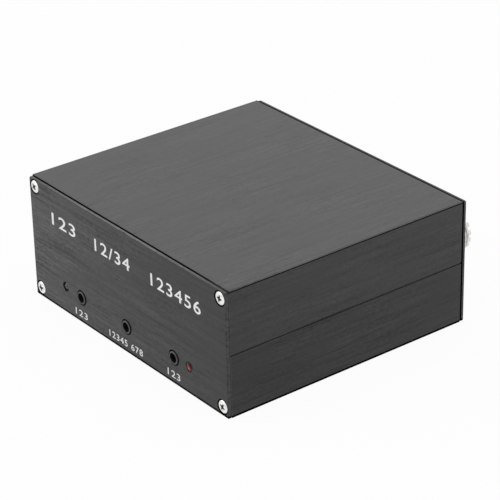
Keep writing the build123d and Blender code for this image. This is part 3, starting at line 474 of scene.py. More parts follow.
def panel_shade(recipe, settings, fittings):
    """The panels: painted shade darkening along them, and countersinks painted black as shade."""
    x, y, z = recipe.place()
    along = x * (0.5 / PANEL_HIGH.x) + 0.5
    top = z.beyond(PANEL_HIGH.z - settings.round_edge * 0.5)
    rear = y.beyond(0.0)
    # Painted highlight on the front panel's top rim, weaker towards the right.
    rim = top.lower(1.0 - rear) * (1.0 - x.ramp(PANEL_HIGH.x * 0.5, PANEL_HIGH.x) * 0.5)
    # Painted shade: the panel darkens along its length, faster at the left end.
    curve = 0.8  # how much faster the dye darkens at the left end
    left = 1.0 - along * (1.0 + curve - along * curve) * settings.fade
    # The rear panel keeps more painted light, with painted shade along its top edge.
    left = left.higher(rear * settings.rear_dye).lower(1.0 - top * rear * settings.rear_top)
    end_start = PANEL_HIGH.x * 0.93
    left = left * (1.0 - x.ramp(end_start, PANEL_HIGH.x) * settings.end_fade)
    # Painted shade line just under the front panel's rim.
    shade_drop, shade_reach, shade_blur = 0.00030, 0.00018, 0.0001
    shaded = z.within(PANEL_HIGH.z - shade_drop, shade_reach, shade_blur)
    left = left * (1.0 - shaded * settings.under_rim)
    left = left.higher(rim * settings.panel_rim)
    # Painted light on the panels' upright edges.
    ends = x.distance_from(0.0).beyond(PANEL_HIGH.x - settings.round_edge)
    left = left.higher(ends * settings.end_dye)
    # Painted shade: the screws' countersinks painted black.
    middle = (PANEL_LOW.z + PANEL_HIGH.z) / 2
    across = x.distance_from(0.0) - (PANEL_HIGH.x - fittings.screw_inset_x)
    upwards = z.distance_from(middle) - (PANEL_HIGH.z - middle - fittings.screw_inset_z)
    near = across * across + upwards * upwards
    mouth = fittings.screw_mouth ** 2
    soft = 0.06
    countersink_shade = 1.0 - near.ramp(mouth * (1.0 - soft), mouth * (1.0 + soft))
    # Painted shade: black on the panel's inner face, and on the back of the front panel's top.
    thin_back = 0.00006
    back = y.distance_from(0.0) + rear.higher(1.0 - top) * (settings.panel_back - thin_back)
    inner = 1.0 - back.beyond(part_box("rear_panel")[0].y + settings.panel_back)
    # Painted shadow along the panel's foot.
    foot_dark = 0.85
    foot = (1.0 - z.beyond(CASE_LOW.z + settings.panel_foot)) * foot_dark
    return left, countersink_shade.higher(inner).higher(foot), settings.panel_grain


def metal_finish(name, base, roughness, grain=0.0003):
    """Plated or polished metal with faint tool marks and handling."""
    recipe = new_finish(name)
    marks = recipe.noise((grain, grain, grain * 0.25), 3.0)
    cloud = recipe.noise(0.0023, 2.0, (4.2, 1.3, 0.8))
    return recipe.surface({
        "Base Color": recipe.mixed(cloud.ramp(0.3, 0.7), tint(base, 0.86), tint(base, 1.06)),
        "Metallic": 1.0,
        "Roughness": marks * 0.14 + cloud * 0.10 + (roughness - 0.12),
        "Normal": recipe.bump(marks, 0.00001, 0.25),
    })


def moulded_finish(name, dark, light, roughness, grain=0.00035):
    """Moulded plastic, resin or lacquer with a fine skin."""
    recipe = new_finish(name)
    cloud = recipe.noise(0.003, 2.0, (2.4, 7.1, 3.3))
    tone = recipe.mixed(cloud.ramp(0.3, 0.7), dark, light)
    return recipe.surface({"Base Color": tone, **recipe.skin(grain, 0.12, roughness - 0.06)})


def resin_finish(name, base, glint, clearness, roughness, core):
    """Cast lamp resin, clear or tinted, with a painted highlight in its core and painted shade at
    its edge.
    """
    recipe = new_finish(name)
    cloud = recipe.noise(0.0006)
    x, _, z = recipe.place()
    across, upwards = x - core.x, z - core.z
    away = across * across + upwards * upwards
    heart_in, heart_out, edge_in, edge_out = (radius ** 2 for radius in LAMP_RADII)
    # Painted shade towards the lens's edge, and a painted highlight in its core.
    edge = away.ramp(edge_in, edge_out)
    heart = 1.0 - away.ramp(heart_in, heart_out)
    body = recipe.mixed(cloud.ramp(0.3, 0.7), tint(base, 0.85), tint(base, 1.1))
    body = recipe.mixed(heart * cloud.ramp(0.40, 0.56), body, glint)
    return recipe.surface({
        "Base Color": recipe.mixed(edge, body, tint(base, 0.08)),
        "Roughness": cloud * 0.06 + roughness,
        "Transmission Weight": clearness,
        "Specular IOR Level": 0.15,
        "IOR": 1.52,
    })


def board_finish(name):
    """Green solder mask with copper runs under it."""
    recipe = new_finish(name)
    runs = recipe.noise((0.0016, 0.011, 0.01), 0.0, (5.0, 1.0, 0.0))
    cross_runs = recipe.noise((0.011, 0.0016, 0.01), 0.0, (2.0, 6.0, 0.0))
    copper = runs.distance_from(0.5).ramp(0.03, 0.045).lower(
        cross_runs.distance_from(0.52).ramp(0.03, 0.045))
    weave = recipe.noise(0.0004)
    return recipe.surface({
        "Base Color": recipe.mixed(copper, (0.03, 0.22, 0.09), (0.012, 0.12, 0.045)),
        "Roughness": weave * 0.12 + 0.28,
        "Normal": recipe.bump(1.0 - copper, 0.00003, 0.5),
    })


def banded_finish(name, body, bands, axis, start, pitch, width):
    """A painted body with coloured bands across one axis, as (position, colour) pairs."""
    recipe = new_finish(name)
    along = recipe.place()["XYZ".index(axis)]
    cloud = recipe.noise(0.0004)
    tone = recipe.mixed(cloud.ramp(0.3, 0.7), tint(body, 0.9), tint(body, 1.08))
    for step, band in enumerate(bands):
        near = along.distance_from(start + step * pitch)
        tone = recipe.mixed(1.0 - near.ramp(width * 0.9, width * 1.1), tone, band)
    return recipe.surface({"Base Color": tone, **recipe.skin(0.0004, 0.1, 0.35)})


def wound_finish(name, base, pitch, axis):
    """Fine turns of wire or braid around one axis, with painted shade between the turns."""
    recipe = new_finish(name)
    along = recipe.place()["XYZ".index(axis)]
    turn = (along * (1 / pitch) % 1.0).distance_from(0.5).ramp(0.1, 0.5)
    cloud = recipe.noise(0.001)
    return recipe.surface({
        # Painted shade between the turns, lighter along each turn's crest.
        "Base Color": recipe.mixed(turn, tint(base, 1.1), tint(base, 0.45)),
        "Roughness": cloud * 0.12 + 0.28,
        "Normal": recipe.bump(1.0 - turn, 0.00004, 0.6),
    })


# ---- modelling steps ----
def clear_selection():
    if bpy.context.mode != "OBJECT":
        bpy.ops.object.mode_set(mode="OBJECT")
    bpy.ops.object.select_all(action="DESELECT")


def take_up(piece):
    """Makes one piece the only one selected."""
    clear_selection()
    piece.select_set(True)
    bpy.context.view_layer.objects.active = piece


def keep_place():
    """Writes the selected piece's place and size into its mesh."""
    bpy.ops.object.transform_apply(location=True, rotation=True, scale=True)


def open_mesh(piece, kind="VERT"):
    take_up(piece)
    bpy.ops.object.mode_set(mode="EDIT")
    bpy.ops.mesh.select_mode(type=kind)


def select_where(piece, test, kind="polygons"):
    """Selects, in edit mode, the faces, edges or vertices that pass a test."""
    bpy.ops.mesh.select_all(action="DESELECT")
    bpy.ops.object.mode_set(mode="OBJECT")
    for element in getattr(piece.data, kind):
        element.select = test(element)
    bpy.ops.object.mode_set(mode="EDIT")


def close_mesh():
    """Merges what coincides, turns the faces outwards and leaves edit mode."""
    bpy.ops.mesh.select_all(action="SELECT")
    bpy.ops.mesh.remove_doubles(threshold=MERGE_DISTANCE)
    bpy.ops.mesh.normals_make_consistent(inside=False)
    bpy.ops.object.mode_set(mode="OBJECT")


def turned(profile, steps, closed=False):
    """Turns (radius, height) points in millimetres about Z. A closed profile makes a ring."""
    points = [(radius * MM, height * MM) for radius, height in profile]
    if closed:
        points.append(points[0])
    clear_selection()
    bpy.ops.mesh.primitive_plane_add(size=MM, location=(0, 0, 0))
    piece = bpy.context.object
    open_mesh(piece)
    bpy.ops.mesh.select_all(action="SELECT")
    bpy.ops.mesh.merge(type="CENTER")
    bpy.ops.transform.translate(value=(points[0][0], 0, points[0][1]))
    for (radius, height), (next_radius, next_height) in zip(points, points[1:]):
        step = (next_radius - radius, 0, next_height - height)
        bpy.ops.mesh.extrude_vertices_move(TRANSFORM_OT_translate={"value": step})
    bpy.ops.mesh.select_all(action="SELECT")
    bpy.ops.mesh.spin(steps=steps, angle=FULL_TURN, center=(0, 0, 0), axis=(0, 0, 1))
    close_mesh()
    return piece


def boxed(low, high):
    """A cuboid between two corners in millimetres, as a start for a cutter or a body."""
    clear_selection()
    middle = [(a + b) / 2 * MM for a, b in zip(low, high)]
    size = [(b - a) * MM for a, b in zip(low, high)]
    bpy.ops.mesh.primitive_cube_add(size=1, location=middle, scale=size)
    piece = bpy.context.object
    keep_place()
    return piece


def apply_modifier(piece, kind, **settings):
    take_up(piece)
    modifier = piece.modifiers.new(kind.title(), kind)
    for name, value in settings.items():
        setattr(modifier, name, value)
    bpy.ops.object.modifier_apply(modifier=modifier.name)


def cut(piece, cutter):
    """Cuts one closed piece out of another."""
    apply_modifier(piece, "BOOLEAN", operation="DIFFERENCE", solver="EXACT", object=cutter)
    bpy.data.objects.remove(cutter)


def weld(piece, other):
    """Makes two closed pieces one body."""
    apply_modifier(piece, "BOOLEAN", operation="UNION", solver="EXACT", object=other)
    bpy.data.objects.remove(other)


def ease(piece, width):
    """Rounds the sharp edges by a width in millimetres."""
    apply_modifier(
        piece, "BEVEL", width=width * MM, segments=2, limit_method="ANGLE",
        angle_limit=CORNER_ANGLE, use_clamp_overlap=True, harden_normals=False,
    )


def copy_of(piece):
    """A copy with its own mesh."""
    twin = piece.copy()
    twin.data = piece.data.copy()
    bpy.context.scene.collection.objects.link(twin)
    return twin


def set_down(piece, place, facing="up", turn=0.0):
    """Moves a piece modelled about Z to its place, its Z pointing up or out of an end panel."""
    tip = {"up": 0.0, "front": QUARTER_TURN, "rear": -QUARTER_TURN}[facing]
    take_up(piece)
    piece.matrix_world = (
        Matrix.Translation(Vector(place))
        @ Matrix.Rotation(tip, 4, "X")
        @ Matrix.Rotation(turn, 4, "Z")
    )
    keep_place()
    return piece


def joined(pieces):
    """Several like pieces as one object."""
    take_up(pieces[0])
    for piece in pieces[1:]:
        piece.select_set(True)
    bpy.ops.object.join()
    return pieces[0]


def fit(piece, name, slot, finish, *nodes):
    """Names a finished piece, gives it its finish and lets it ride on the case."""
    take_up(piece)
    keep_place()
    bpy.ops.object.shade_smooth_by_angle(angle=CORNER_ANGLE)
    piece.name = name
    piece.data.name = name
    if finish.name not in piece.data.materials:
        piece.data.materials.append(finish)
    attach(piece, CASE)
    if nodes:
        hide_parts(*nodes)
    return piece


def dress(finish, *nodes):
    """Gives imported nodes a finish."""
    for node in nodes:
        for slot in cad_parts[node].material_slots:
            slot.material = finish


def socket_place(node):
    """Where a socket's axis meets the rear panel's outer face."""
    middle = middle_of(node)
    return Vector((middle.x, REAR_FACE, middle.z))


def hexagon_block(across, low, high):
    """A hexagon prism about Z with its corners turned off, sizes in millimetres."""
    clear_selection()
    bpy.ops.mesh.primitive_cylinder_add(
        vertices=6, radius=across / 2 / cos(HALF_TURN / 6) * MM, depth=(high - low) * MM,
        location=(0, 0, (low + high) / 2 * MM),
    )
    piece = bpy.context.object
    keep_place()
    edge = across * 0.5
    corner = across * 0.62
    slope = 0.35
    ring = turned([
        (0, low), (edge, low), (corner, low + slope),
        (corner, high - slope), (edge, high), (0, high),
    ], 48)
    apply_modifier(piece, "BOOLEAN", operation="INTERSECT", solver="EXACT", object=ring)
    bpy.data.objects.remove(ring)
    return piece


def drilled(piece, radius, low, high, place=(0, 0, 0), steps=32):
    """Drills a round hole along Z, sizes in millimetres."""
    drill = turned([(0, low), (radius, low), (radius, high), (0, high)], steps)
    cut(piece, set_down(drill, place))
    return piece


def around(piece, count):
    """Copies of a piece turned evenly about Z, joined; the piece itself is used up."""
    turns = [FULL_TURN * step / count for step in range(count)]
    copies = [set_down(copy_of(piece), (0, 0, 0), "up", turn) for turn in turns]
    bpy.data.objects.remove(piece)
    return joined(copies)


def figures(text, height, width, depth):
    """Plain figures as a thin solid, foot on the X axis, middle on the Y axis, in metres.

    With no width they keep their own.
    """
    clear_selection()
    bpy.ops.object.text_add(location=(0, 0, 0))
    writing = bpy.context.object
    writing.data.body = text
    writing.data.align_x = "CENTER"
    writing.data.resolution_u = 6
    writing.data.space_character = 1.15
    writing.data.offset = 0.008
    bpy.ops.object.convert(target="MESH")
    piece = bpy.context.object
    across = [vertex.co.x for vertex in piece.data.vertices]
    top = max(vertex.co.y for vertex in piece.data.vertices)
    middle = (min(across) + max(across)) / 2
    span = max(across) - min(across)
    size = (width / span if width else height / top, height / top, 1)
    open_mesh(piece, "FACE")
    bpy.ops.mesh.select_all(action="SELECT")
    bpy.ops.transform.translate(value=(-middle, 0, 0))
    bpy.ops.transform.resize(value=size, center_override=(0, 0, 0))
    bpy.ops.mesh.remove_doubles(threshold=MERGE_DISTANCE)
    bpy.ops.mesh.extrude_region_move(TRANSFORM_OT_translate={"value": (0, 0, depth)})
    close_mesh()
    return piece


def recess_wing(span, width, depth):
    """One wing pair of a cross recess, narrower towards its foot, its mouth at z = 0."""
    over = 0.4
    taper = (0.5, 0.62, 1)
    wing = boxed((-span / 2, -width / 2, -depth), (span / 2, width / 2, over))
    open_mesh(wing, "FACE")
    select_where(wing, lambda face: face.normal.z < -0.9)
    bpy.ops.transform.resize(value=taper, center_override=(0, 0, -depth * MM))
    close_mesh()
    return wing


def cut_cross(piece, top, span, width, depth):
    """Cuts a cross recess into a screw head whose face is at that height."""
    for turn in (0, QUARTER_TURN):
        wing = recess_wing(span, width, depth)
        set_down(wing, (0, 0, top * MM), "up", turn)
        cut(piece, wing)
    radius, over = width * 0.95, 0.3
    pit = turned([(0, over), (radius, over), (radius, -depth * 0.75), (0, -depth * 1.25)], 16)
    cut(piece, set_down(pit, (0, 0, top * MM)))


def paint_recess(screw, finish, recess_shade_finish, radius):
    """Gives a screw its finish, and the faces of its cross recess a darker one for painted shade.
    """
    for each in (finish, recess_shade_finish):
        screw.data.materials.append(each)
    crown = max(vertex.co.z for vertex in screw.data.vertices)
    widest, mouth, deepest, steep = radius * 1.05, radius * 0.12, radius * 1.3, 0.6
    open_mesh(screw, "FACE")
    def in_recess(face):
        x, y, z = face.center
        depth = crown - z
        inside = x * x + y * y < widest ** 2 and depth < deepest
        return inside and (depth > mouth or face.normal.z < steep)
    select_where(screw, in_recess)
    screw.active_material_index = 1
    bpy.ops.object.material_slot_assign()
    close_mesh()


def cut_thread(piece, radius, depth, pitch, start, end, steps=40):
    """Cuts a vee thread between two heights, all in millimetres."""
    clear_selection()
    turns = max(1, round((end - start) / pitch))
    reach = pitch * 0.46  # half the groove's width, a little less than half a turn
    bpy.ops.mesh.primitive_circle_add(vertices=3, radius=MM, fill_type="NOTHING")
    groove = bpy.context.object
    outer = radius + depth * 0.35
    inner = radius - depth
    corners = ((inner, 0.0), (outer, reach), (outer, -reach))
    for vertex, (at, height) in zip(groove.data.vertices, corners):
        vertex.co = (at * MM, 0.0, (start + height) * MM)
    apply_modifier(
        groove, "SCREW", axis="Z", screw_offset=pitch * MM, iterations=turns, steps=steps,
        render_steps=steps, use_merge_vertices=False,
    )
    open_mesh(groove)
    bpy.ops.mesh.select_all(action="DESELECT")
    bpy.ops.mesh.select_non_manifold()
    bpy.ops.mesh.fill_holes(sides=4)
    close_mesh()
    cut(piece, groove)


# ---- operators ----
def settings_of(context):
    scene = context.scene
    return scene.box_finishes, scene.box_fittings, scene.box_sockets, scene.box_stage


def in_mm(settings, *names):
    """Lengths from the settings, in millimetres."""
    return [getattr(settings, name) / MM for name in names]


def span_of(node):
    """A rear node's inner and outer end, in millimetres from the panel's face."""
    return [(corner.y - REAR_FACE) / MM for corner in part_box(node)]


class BOX_OT_shells(bpy.types.Operator):
    """Gives both extruded shell halves their lengthwise brushed black finish"""

    bl_idname = "changeover_box.shells"
    bl_label = "Brushed Shells"

    def execute(self, context):
        finishes, fittings, _, _ = settings_of(context)
        finish = brushed_finish(
            "brushed_black_shell", finishes.anodised, finishes, fittings, "Y", shell_shade
        )
        dress(finish, "lower_shell", "upper_shell")
        return {"FINISHED"}


class BOX_OT_panels(bpy.types.Operator):
    """Gives both end panels their crosswise brushed black finish"""

    bl_idname = "changeover_box.panels"
    bl_label = "Brushed End Panels"

    def execute(self, context):
        finishes, fittings, _, _ = settings_of(context)
        finish = brushed_finish(
            "brushed_black_panel", finishes.panel, finishes, fittings, "X", panel_shade
        )
        for end in ("front", "rear"):
            self.settle(f"{end}_panel", f"{end}_plate", finish, fittings)
        return {"FINISHED"}

    def settle(self, node, name, finish, fittings):
        """A panel whose foot edge comes down level with the shells' foot."""
        plate = bpy.data.objects.new(name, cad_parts[node].data.copy())
        plate.matrix_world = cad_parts[node].matrix_world
        bpy.context.scene.collection.objects.link(plate)
        take_up(plate)
        keep_place()
        bpy.ops.mesh.customdata_custom_splitnormals_clear()
        plate.data.materials.clear()
        screw_x = PANEL_HIGH.x - fittings.screw_inset_x
        screw_z = PANEL_LOW.z + fittings.screw_inset_z
        clear = fittings.screw_mouth + FOOT_CLEARANCE
        def at_foot(vertex):
            x, _, z = vertex.co
            away = (abs(x) - screw_x) ** 2 + (z - screw_z) ** 2 > clear ** 2
            return away and z < PANEL_LOW.z + FOOT_HEIGHT
        open_mesh(plate)
        select_where(plate, at_foot, "vertices")
        bpy.ops.transform.translate(value=(0, 0, CASE_LOW.z - PANEL_LOW.z))
        close_mesh()
        fit(plate, name, "brushed_black_panel", finish, node)


class BOX_OT_corner_screws(bpy.types.Operator):
    """Models the countersunk cross-recess screws in the corners of both panels"""

    bl_idname = "changeover_box.corner_screws"
    bl_label = "Corner Screws"
    corner_turns = (12.0, 63.0, 38.0, 80.0)

    def execute(self, context):
        finishes, fittings, _, _ = settings_of(context)
        screw = self.model(fittings)
        finish = metal_finish("screw_steel", finishes.steel, 0.34)
        # The recess finish is painted shade in the cross recess.
        recess_shade_finish = metal_finish("screw_recess_steel", tint(finishes.steel, 0.22), 0.60)
        paint_recess(screw, finish, recess_shade_finish, fittings.screw_cross * 0.55)
        sink = fittings.screw_sink
        half = PANEL_HIGH.x - fittings.screw_inset_x
        low = PANEL_LOW.z + fittings.screw_inset_z
        high = PANEL_HIGH.z - fittings.screw_inset_z
        corners = [(x, z) for z in (low, high) for x in (-half, half)]
        for facing, face in (("front", FRONT_FACE + sink), ("rear", REAR_FACE - sink)):
            screws = joined([
                set_down(copy_of(screw), (x, face, z), facing, radians(turn))
                for (x, z), turn in zip(corners, self.corner_turns)
            ])
            node = f"{facing}_panel_screws"
            fit(screws, f"{facing}_corner_screws", "screw_steel", finish, node)
        bpy.data.objects.remove(screw)
        return {"FINISHED"}

    def model(self, fittings):
        """One screw standing on its tip, its head's face at z = 0."""
        head, core, reach, crown, span = in_mm(
            fittings, "screw_head", "screw_core", "screw_reach", "screw_crown", "screw_cross"
        )
        cone = head - core
        land = -0.2
        screw = turned([
            (0, crown), (head * 0.35, crown * 0.95), (head * 0.65, crown * 0.74),
            (head * 0.86, crown * 0.40), (head * 0.96, crown * 0.10), (head, -0.05), (head, land),
            (core, land - cone), (core, -reach + core / 2), (core / 2, -reach), (0, -reach),
        ], 48)
        cut_cross(screw, crown * 0.8, span, span * 0.27, span * 0.42)
        ease(screw, 0.04)
        return screw


class BOX_OT_jacks(bpy.types.Operator):
    """Finishes the audio jacks' moulded bodies and sprung contacts, and the lamp leads"""

    bl_idname = "changeover_box.jacks"
    bl_label = "Audio Jacks"

    def execute(self, context):
        finishes = context.scene.box_finishes
        tin = metal_finish("tinned_metal", finishes.tin, 0.32)
        black = self.moulding()
        for side in ("left", "middle", "right"):
            dress(black, f"{side}_jack_housing")
            dress(tin, f"{side}_jack_contacts")
        dress(tin, "lamp_leads")
        return {"FINISHED"}

    def moulding(self):
        """Black plastic with a patchy grey painted highlight on the lip round each mouth."""
        recipe = new_finish("jack_plastic")
        _, y, _ = recipe.place()
        lip_depth = 0.00012
        lip = 1.0 - y.beyond(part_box("middle_jack_housing")[0].y + lip_depth)
        # Painted highlight on the lip, broken into patches.
        painted_lip_highlight = lip * recipe.noise(0.0008, 1.0).ramp(0.25, 0.6)
        tone = recipe.mixed(painted_lip_highlight, (0.006, 0.006, 0.006), (0.063, 0.063, 0.065))
        return recipe.surface({"Base Color": tone, **recipe.skin(0.00035, 0.12, 0.42)})


class BOX_OT_lamps(bpy.types.Operator):
    """Models the domed lamp lenses, with a metal cup cast into each"""

    bl_idname = "changeover_box.lamps"
    bl_label = "Lamps"

    def execute(self, context):
        finishes, fittings, _, _ = settings_of(context)
        metal = metal_finish("lamp_cup_metal", finishes.tin, 0.25)
        clear_core = middle_of("clear_lamp_lens")
        red_core = middle_of("red_lamp_lens") - Vector((0, 0, fittings.red_core_drop))
        # Each resin's second colour is its painted glint.
        clear = resin_finish(
            "clear_resin", (0.60, 0.64, 0.62), (0.80, 0.82, 0.80), 0.92, 0.06, clear_core
        )
        red = resin_finish(
            "red_resin", (0.14, 0.003, 0.013), (0.42, 0.10, 0.09), 0.05, 0.20, red_core
        )
        cups = []
        for name, resin, proud, radius, dome in (
            ("clear", clear, 0.0, fittings.lens, fittings.dome),
            ("red", red, fittings.red_proud, fittings.red_lens, fittings.red_dome),
        ):
            node = f"{name}_lamp_lens"
            low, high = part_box(node)
            place = ((low.x + high.x) / 2, low.y - proud, (low.z + high.z) / 2)
            bow = self.model(fittings, high.y - low.y + proud, radius / MM, dome / MM)
            lens = set_down(bow, place, "front")
            fit(lens, f"{name}_lens", f"{name}_resin", resin, node)
            cups.append(set_down(self.cup(fittings), place, "front"))
        fit(joined(cups), "lamp_cups", "tinned_metal", metal)
        return {"FINISHED"}

    def model(self, fittings, reach, radius, dome):
        """A lens about Z with its tip at z = 0."""
        flange, rim = in_mm(fittings, "lens_flange", "lens_flange_height")
        back = -reach / MM
        spread = asin(radius / dome)
        facets = 8
        tilts = [spread * step / facets for step in range(facets + 1)]
        bow = [(dome * sin(tilt), dome * cos(tilt) - dome) for tilt in tilts]
        foot = [(radius, back + rim), (flange, back + rim), (flange, back), (0, back)]
        return turned(bow + foot, 48)

    def cup(self, fittings):
        """The reflector cup and its post inside a lens."""
        radius = fittings.lens / MM
        depth = 1.6 * radius
        wide, post = radius * 0.72, radius * 0.25
        lip, foot, end = -depth + 0.55, -depth - 0.6, -depth - 2.0
        return turned([
            (0, -depth), (radius * 0.30, -depth), (radius * 0.62, lip), (wide, lip),
            (wide, foot), (post, -depth - 0.9), (post, end), (0, end),
        ], 32)


class BOX_OT_markings(bpy.types.Operator):
    """Prints plain counting figures on the front panel and over the rear sockets"""

    bl_idname = "changeover_box.markings"
    bl_label = "Printed Figures"

    upper = (("123", -0.0432, -0.0287), ("12/34", -0.0170, 0.0036), ("123456", 0.0156, 0.0431))
    lower = (("123", -0.0314, -0.0240), ("12345 678", -0.0107, 0.0090), ("123", 0.0233, 0.0303))

    def execute(self, context):
        finishes, fittings, _, _ = settings_of(context)
        depth = fittings.ink_depth
        printed = []
        for texts, lift, height in (
            (self.upper, fittings.figure_foot, fittings.figure),
            (self.lower, fittings.label_foot, fittings.label),
        ):
            for text, low, high in texts:
                mark = figures(text, height, high - low, depth)
                place = ((low + high) / 2, FRONT_FACE, PANEL_LOW.z + lift)
                printed.append(set_down(mark, place, "front"))
        ink = moulded_finish("white_ink", tint(finishes.ink, 0.97), tuple(finishes.ink), 0.55)
        fit(joined(printed), "front_figures", "white_insulator", ink)
        rear = []
        sockets = (
            "supply_inlet_housing", "key_socket_shell", "receiver_socket_body",
            "transceiver_socket_body", "aerial_socket_body",
        )
        heights_down = 2.4
        foot = PANEL_HIGH.z - heights_down * fittings.label
        for number, node in enumerate(sockets, 1):
            mark = figures(str(number), fittings.label, 0.0, depth)
            rear.append(set_down(mark, (middle_of(node).x, REAR_FACE, foot), "rear", HALF_TURN))
        fit(joined(rear), "rear_figures", "white_insulator", ink)
        return {"FINISHED"}


class BOX_OT_radio_sockets(bpy.types.Operator):
    """Models both radio sockets: square flange, threaded barrel and notched rim"""

    bl_idname = "changeover_box.radio_sockets"
    bl_label = "Radio Sockets"

    def execute(self, context):
        finishes, _, sockets, _ = settings_of(context)
        body = self.barrel(sockets)
        weld(body, self.flange(sockets))
        ease(body, 0.08)
        nickel = metal_finish("nickel_plate", finishes.nickel, 0.34, 0.0004)
        for name in ("aerial", "transceiver"):
            node = f"{name}_socket_body"
            piece = set_down(copy_of(body), socket_place(node), "rear")
            fit(piece, f"{name}_socket_barrel", "nickel_plate", nickel, node)
        bpy.data.objects.remove(body)
        return {"FINISHED"}

    def barrel(self, sockets):
        back, reach = span_of("aerial_socket_body")
        thread, rim, spigot, mouth = in_mm(sockets, "thread", "rim", "spigot", "mouth")
        rim_height, flange, bore, pitch = in_mm(
            sockets, "rim_height", "flange", "rear_bore", "pitch"
        )
        rim_start = reach - rim_height
        step = thread - rim
        bore_end, slope, mouth_slope = 0.8, 0.12, 0.2
        piece = turned([
            (bore, back), (spigot, back), (spigot, flange / 2), (thread, flange / 2),
            (thread, rim_start - step), (rim, rim_start), (rim, reach - slope),
            (rim - slope, reach), (mouth + mouth_slope, reach), (mouth, reach - mouth_slope),
            (mouth, bore_end), (bore, bore_end),
        ], 64, closed=True)
        first, last = flange + pitch * 0.7, rim_start - step * 0.3
        cut_thread(piece, thread, pitch * 0.55, pitch, first, last)
        gap_share = 0.42
        half_width = FULL_TURN * rim / sockets.notches * gap_share / 2
        inner, outer = (mouth - 0.6, -half_width), (thread + 0.5, half_width)
        notch = boxed((*inner, reach - 1.05), (*outer, reach + 0.6))
        cut(piece, around(notch, sockets.notches))
        return piece

    def flange(self, sockets):
        low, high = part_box("aerial_socket_body")
        half = (high.x - low.x) / 2 / MM
        thick = sockets.flange / MM
        plate = boxed((-half, -half, 0), (half, half, thick))
        open_mesh(plate, "EDGE")
        def upright(edge):
            a, b = (plate.data.vertices[index].co for index in edge.vertices)
            return abs(a.z - b.z) > thick * MM / 2
        select_where(plate, upright, "edges")
        bpy.ops.mesh.bevel(offset=sockets.flange_corner, segments=6, affect="EDGES")
        close_mesh()
        spigot, bore, hole = in_mm(sockets, "spigot", "rear_bore", "bolt_hole")
        drilled(plate, (spigot + bore) / 2, -1, thick + 1, steps=48)
        spot = sockets.spacing / 2
        for x in (-spot, spot):
            for y in (-spot, spot):
                drilled(plate, hole, -1, thick + 1, (x, y, 0))
        return plate


class BOX_OT_flange_screws(bpy.types.Operator):
    """Models the eight pan-head screws of the radio sockets' flanges"""

    bl_idname = "changeover_box.flange_screws"
    bl_label = "Flange Screws"

    def execute(self, context):
        finishes, _, sockets, _ = settings_of(context)
        seat = REAR_FACE + sockets.flange
        reach = (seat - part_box("socket_flange_bolts")[0].y) / MM
        head, shank, crown = in_mm(sockets, "bolt_head", "bolt", "bolt_crown")
        chamfer, tip = 0.05, 0.4
        screw = turned([
            (0, crown), (head * 0.45, crown * 0.97), (head * 0.72, crown * 0.84),
            (head * 0.92, crown * 0.58), (head, crown * 0.25), (head, chamfer),
            (head - chamfer, 0), (shank, 0), (shank, -reach + tip), (shank - tip, -reach),
            (0, -reach),
        ], 40)
        cut_cross(screw, crown, head * 1.15, head * 0.26, crown * 0.62)
        ease(screw, 0.04)
        steel = metal_finish("flange_screw_steel", finishes.steel, 0.28)
        paint_recess(screw, steel, finish_called("screw_recess_steel"), head * 0.62 * MM)
        spot = sockets.spacing / 2
        first_turn, next_turn = 0.7, 1.3
        copies = []
        for name in ("aerial_socket_body", "transceiver_socket_body"):
            place = socket_place(name)
            corners = [(x, z) for x in (-spot, spot) for z in (-spot, spot)]
            for step, (x, z) in enumerate(corners):
                at = (place.x + x, seat, place.z + z)
                copies.append(set_down(copy_of(screw), at, "rear", first_turn + next_turn * step))
        fit(joined(copies), "flange_screws", "nickel_plate", steel, "socket_flange_bolts")
        bpy.data.objects.remove(screw)
        dress(steel, "socket_flange_nuts")
        return {"FINISHED"}


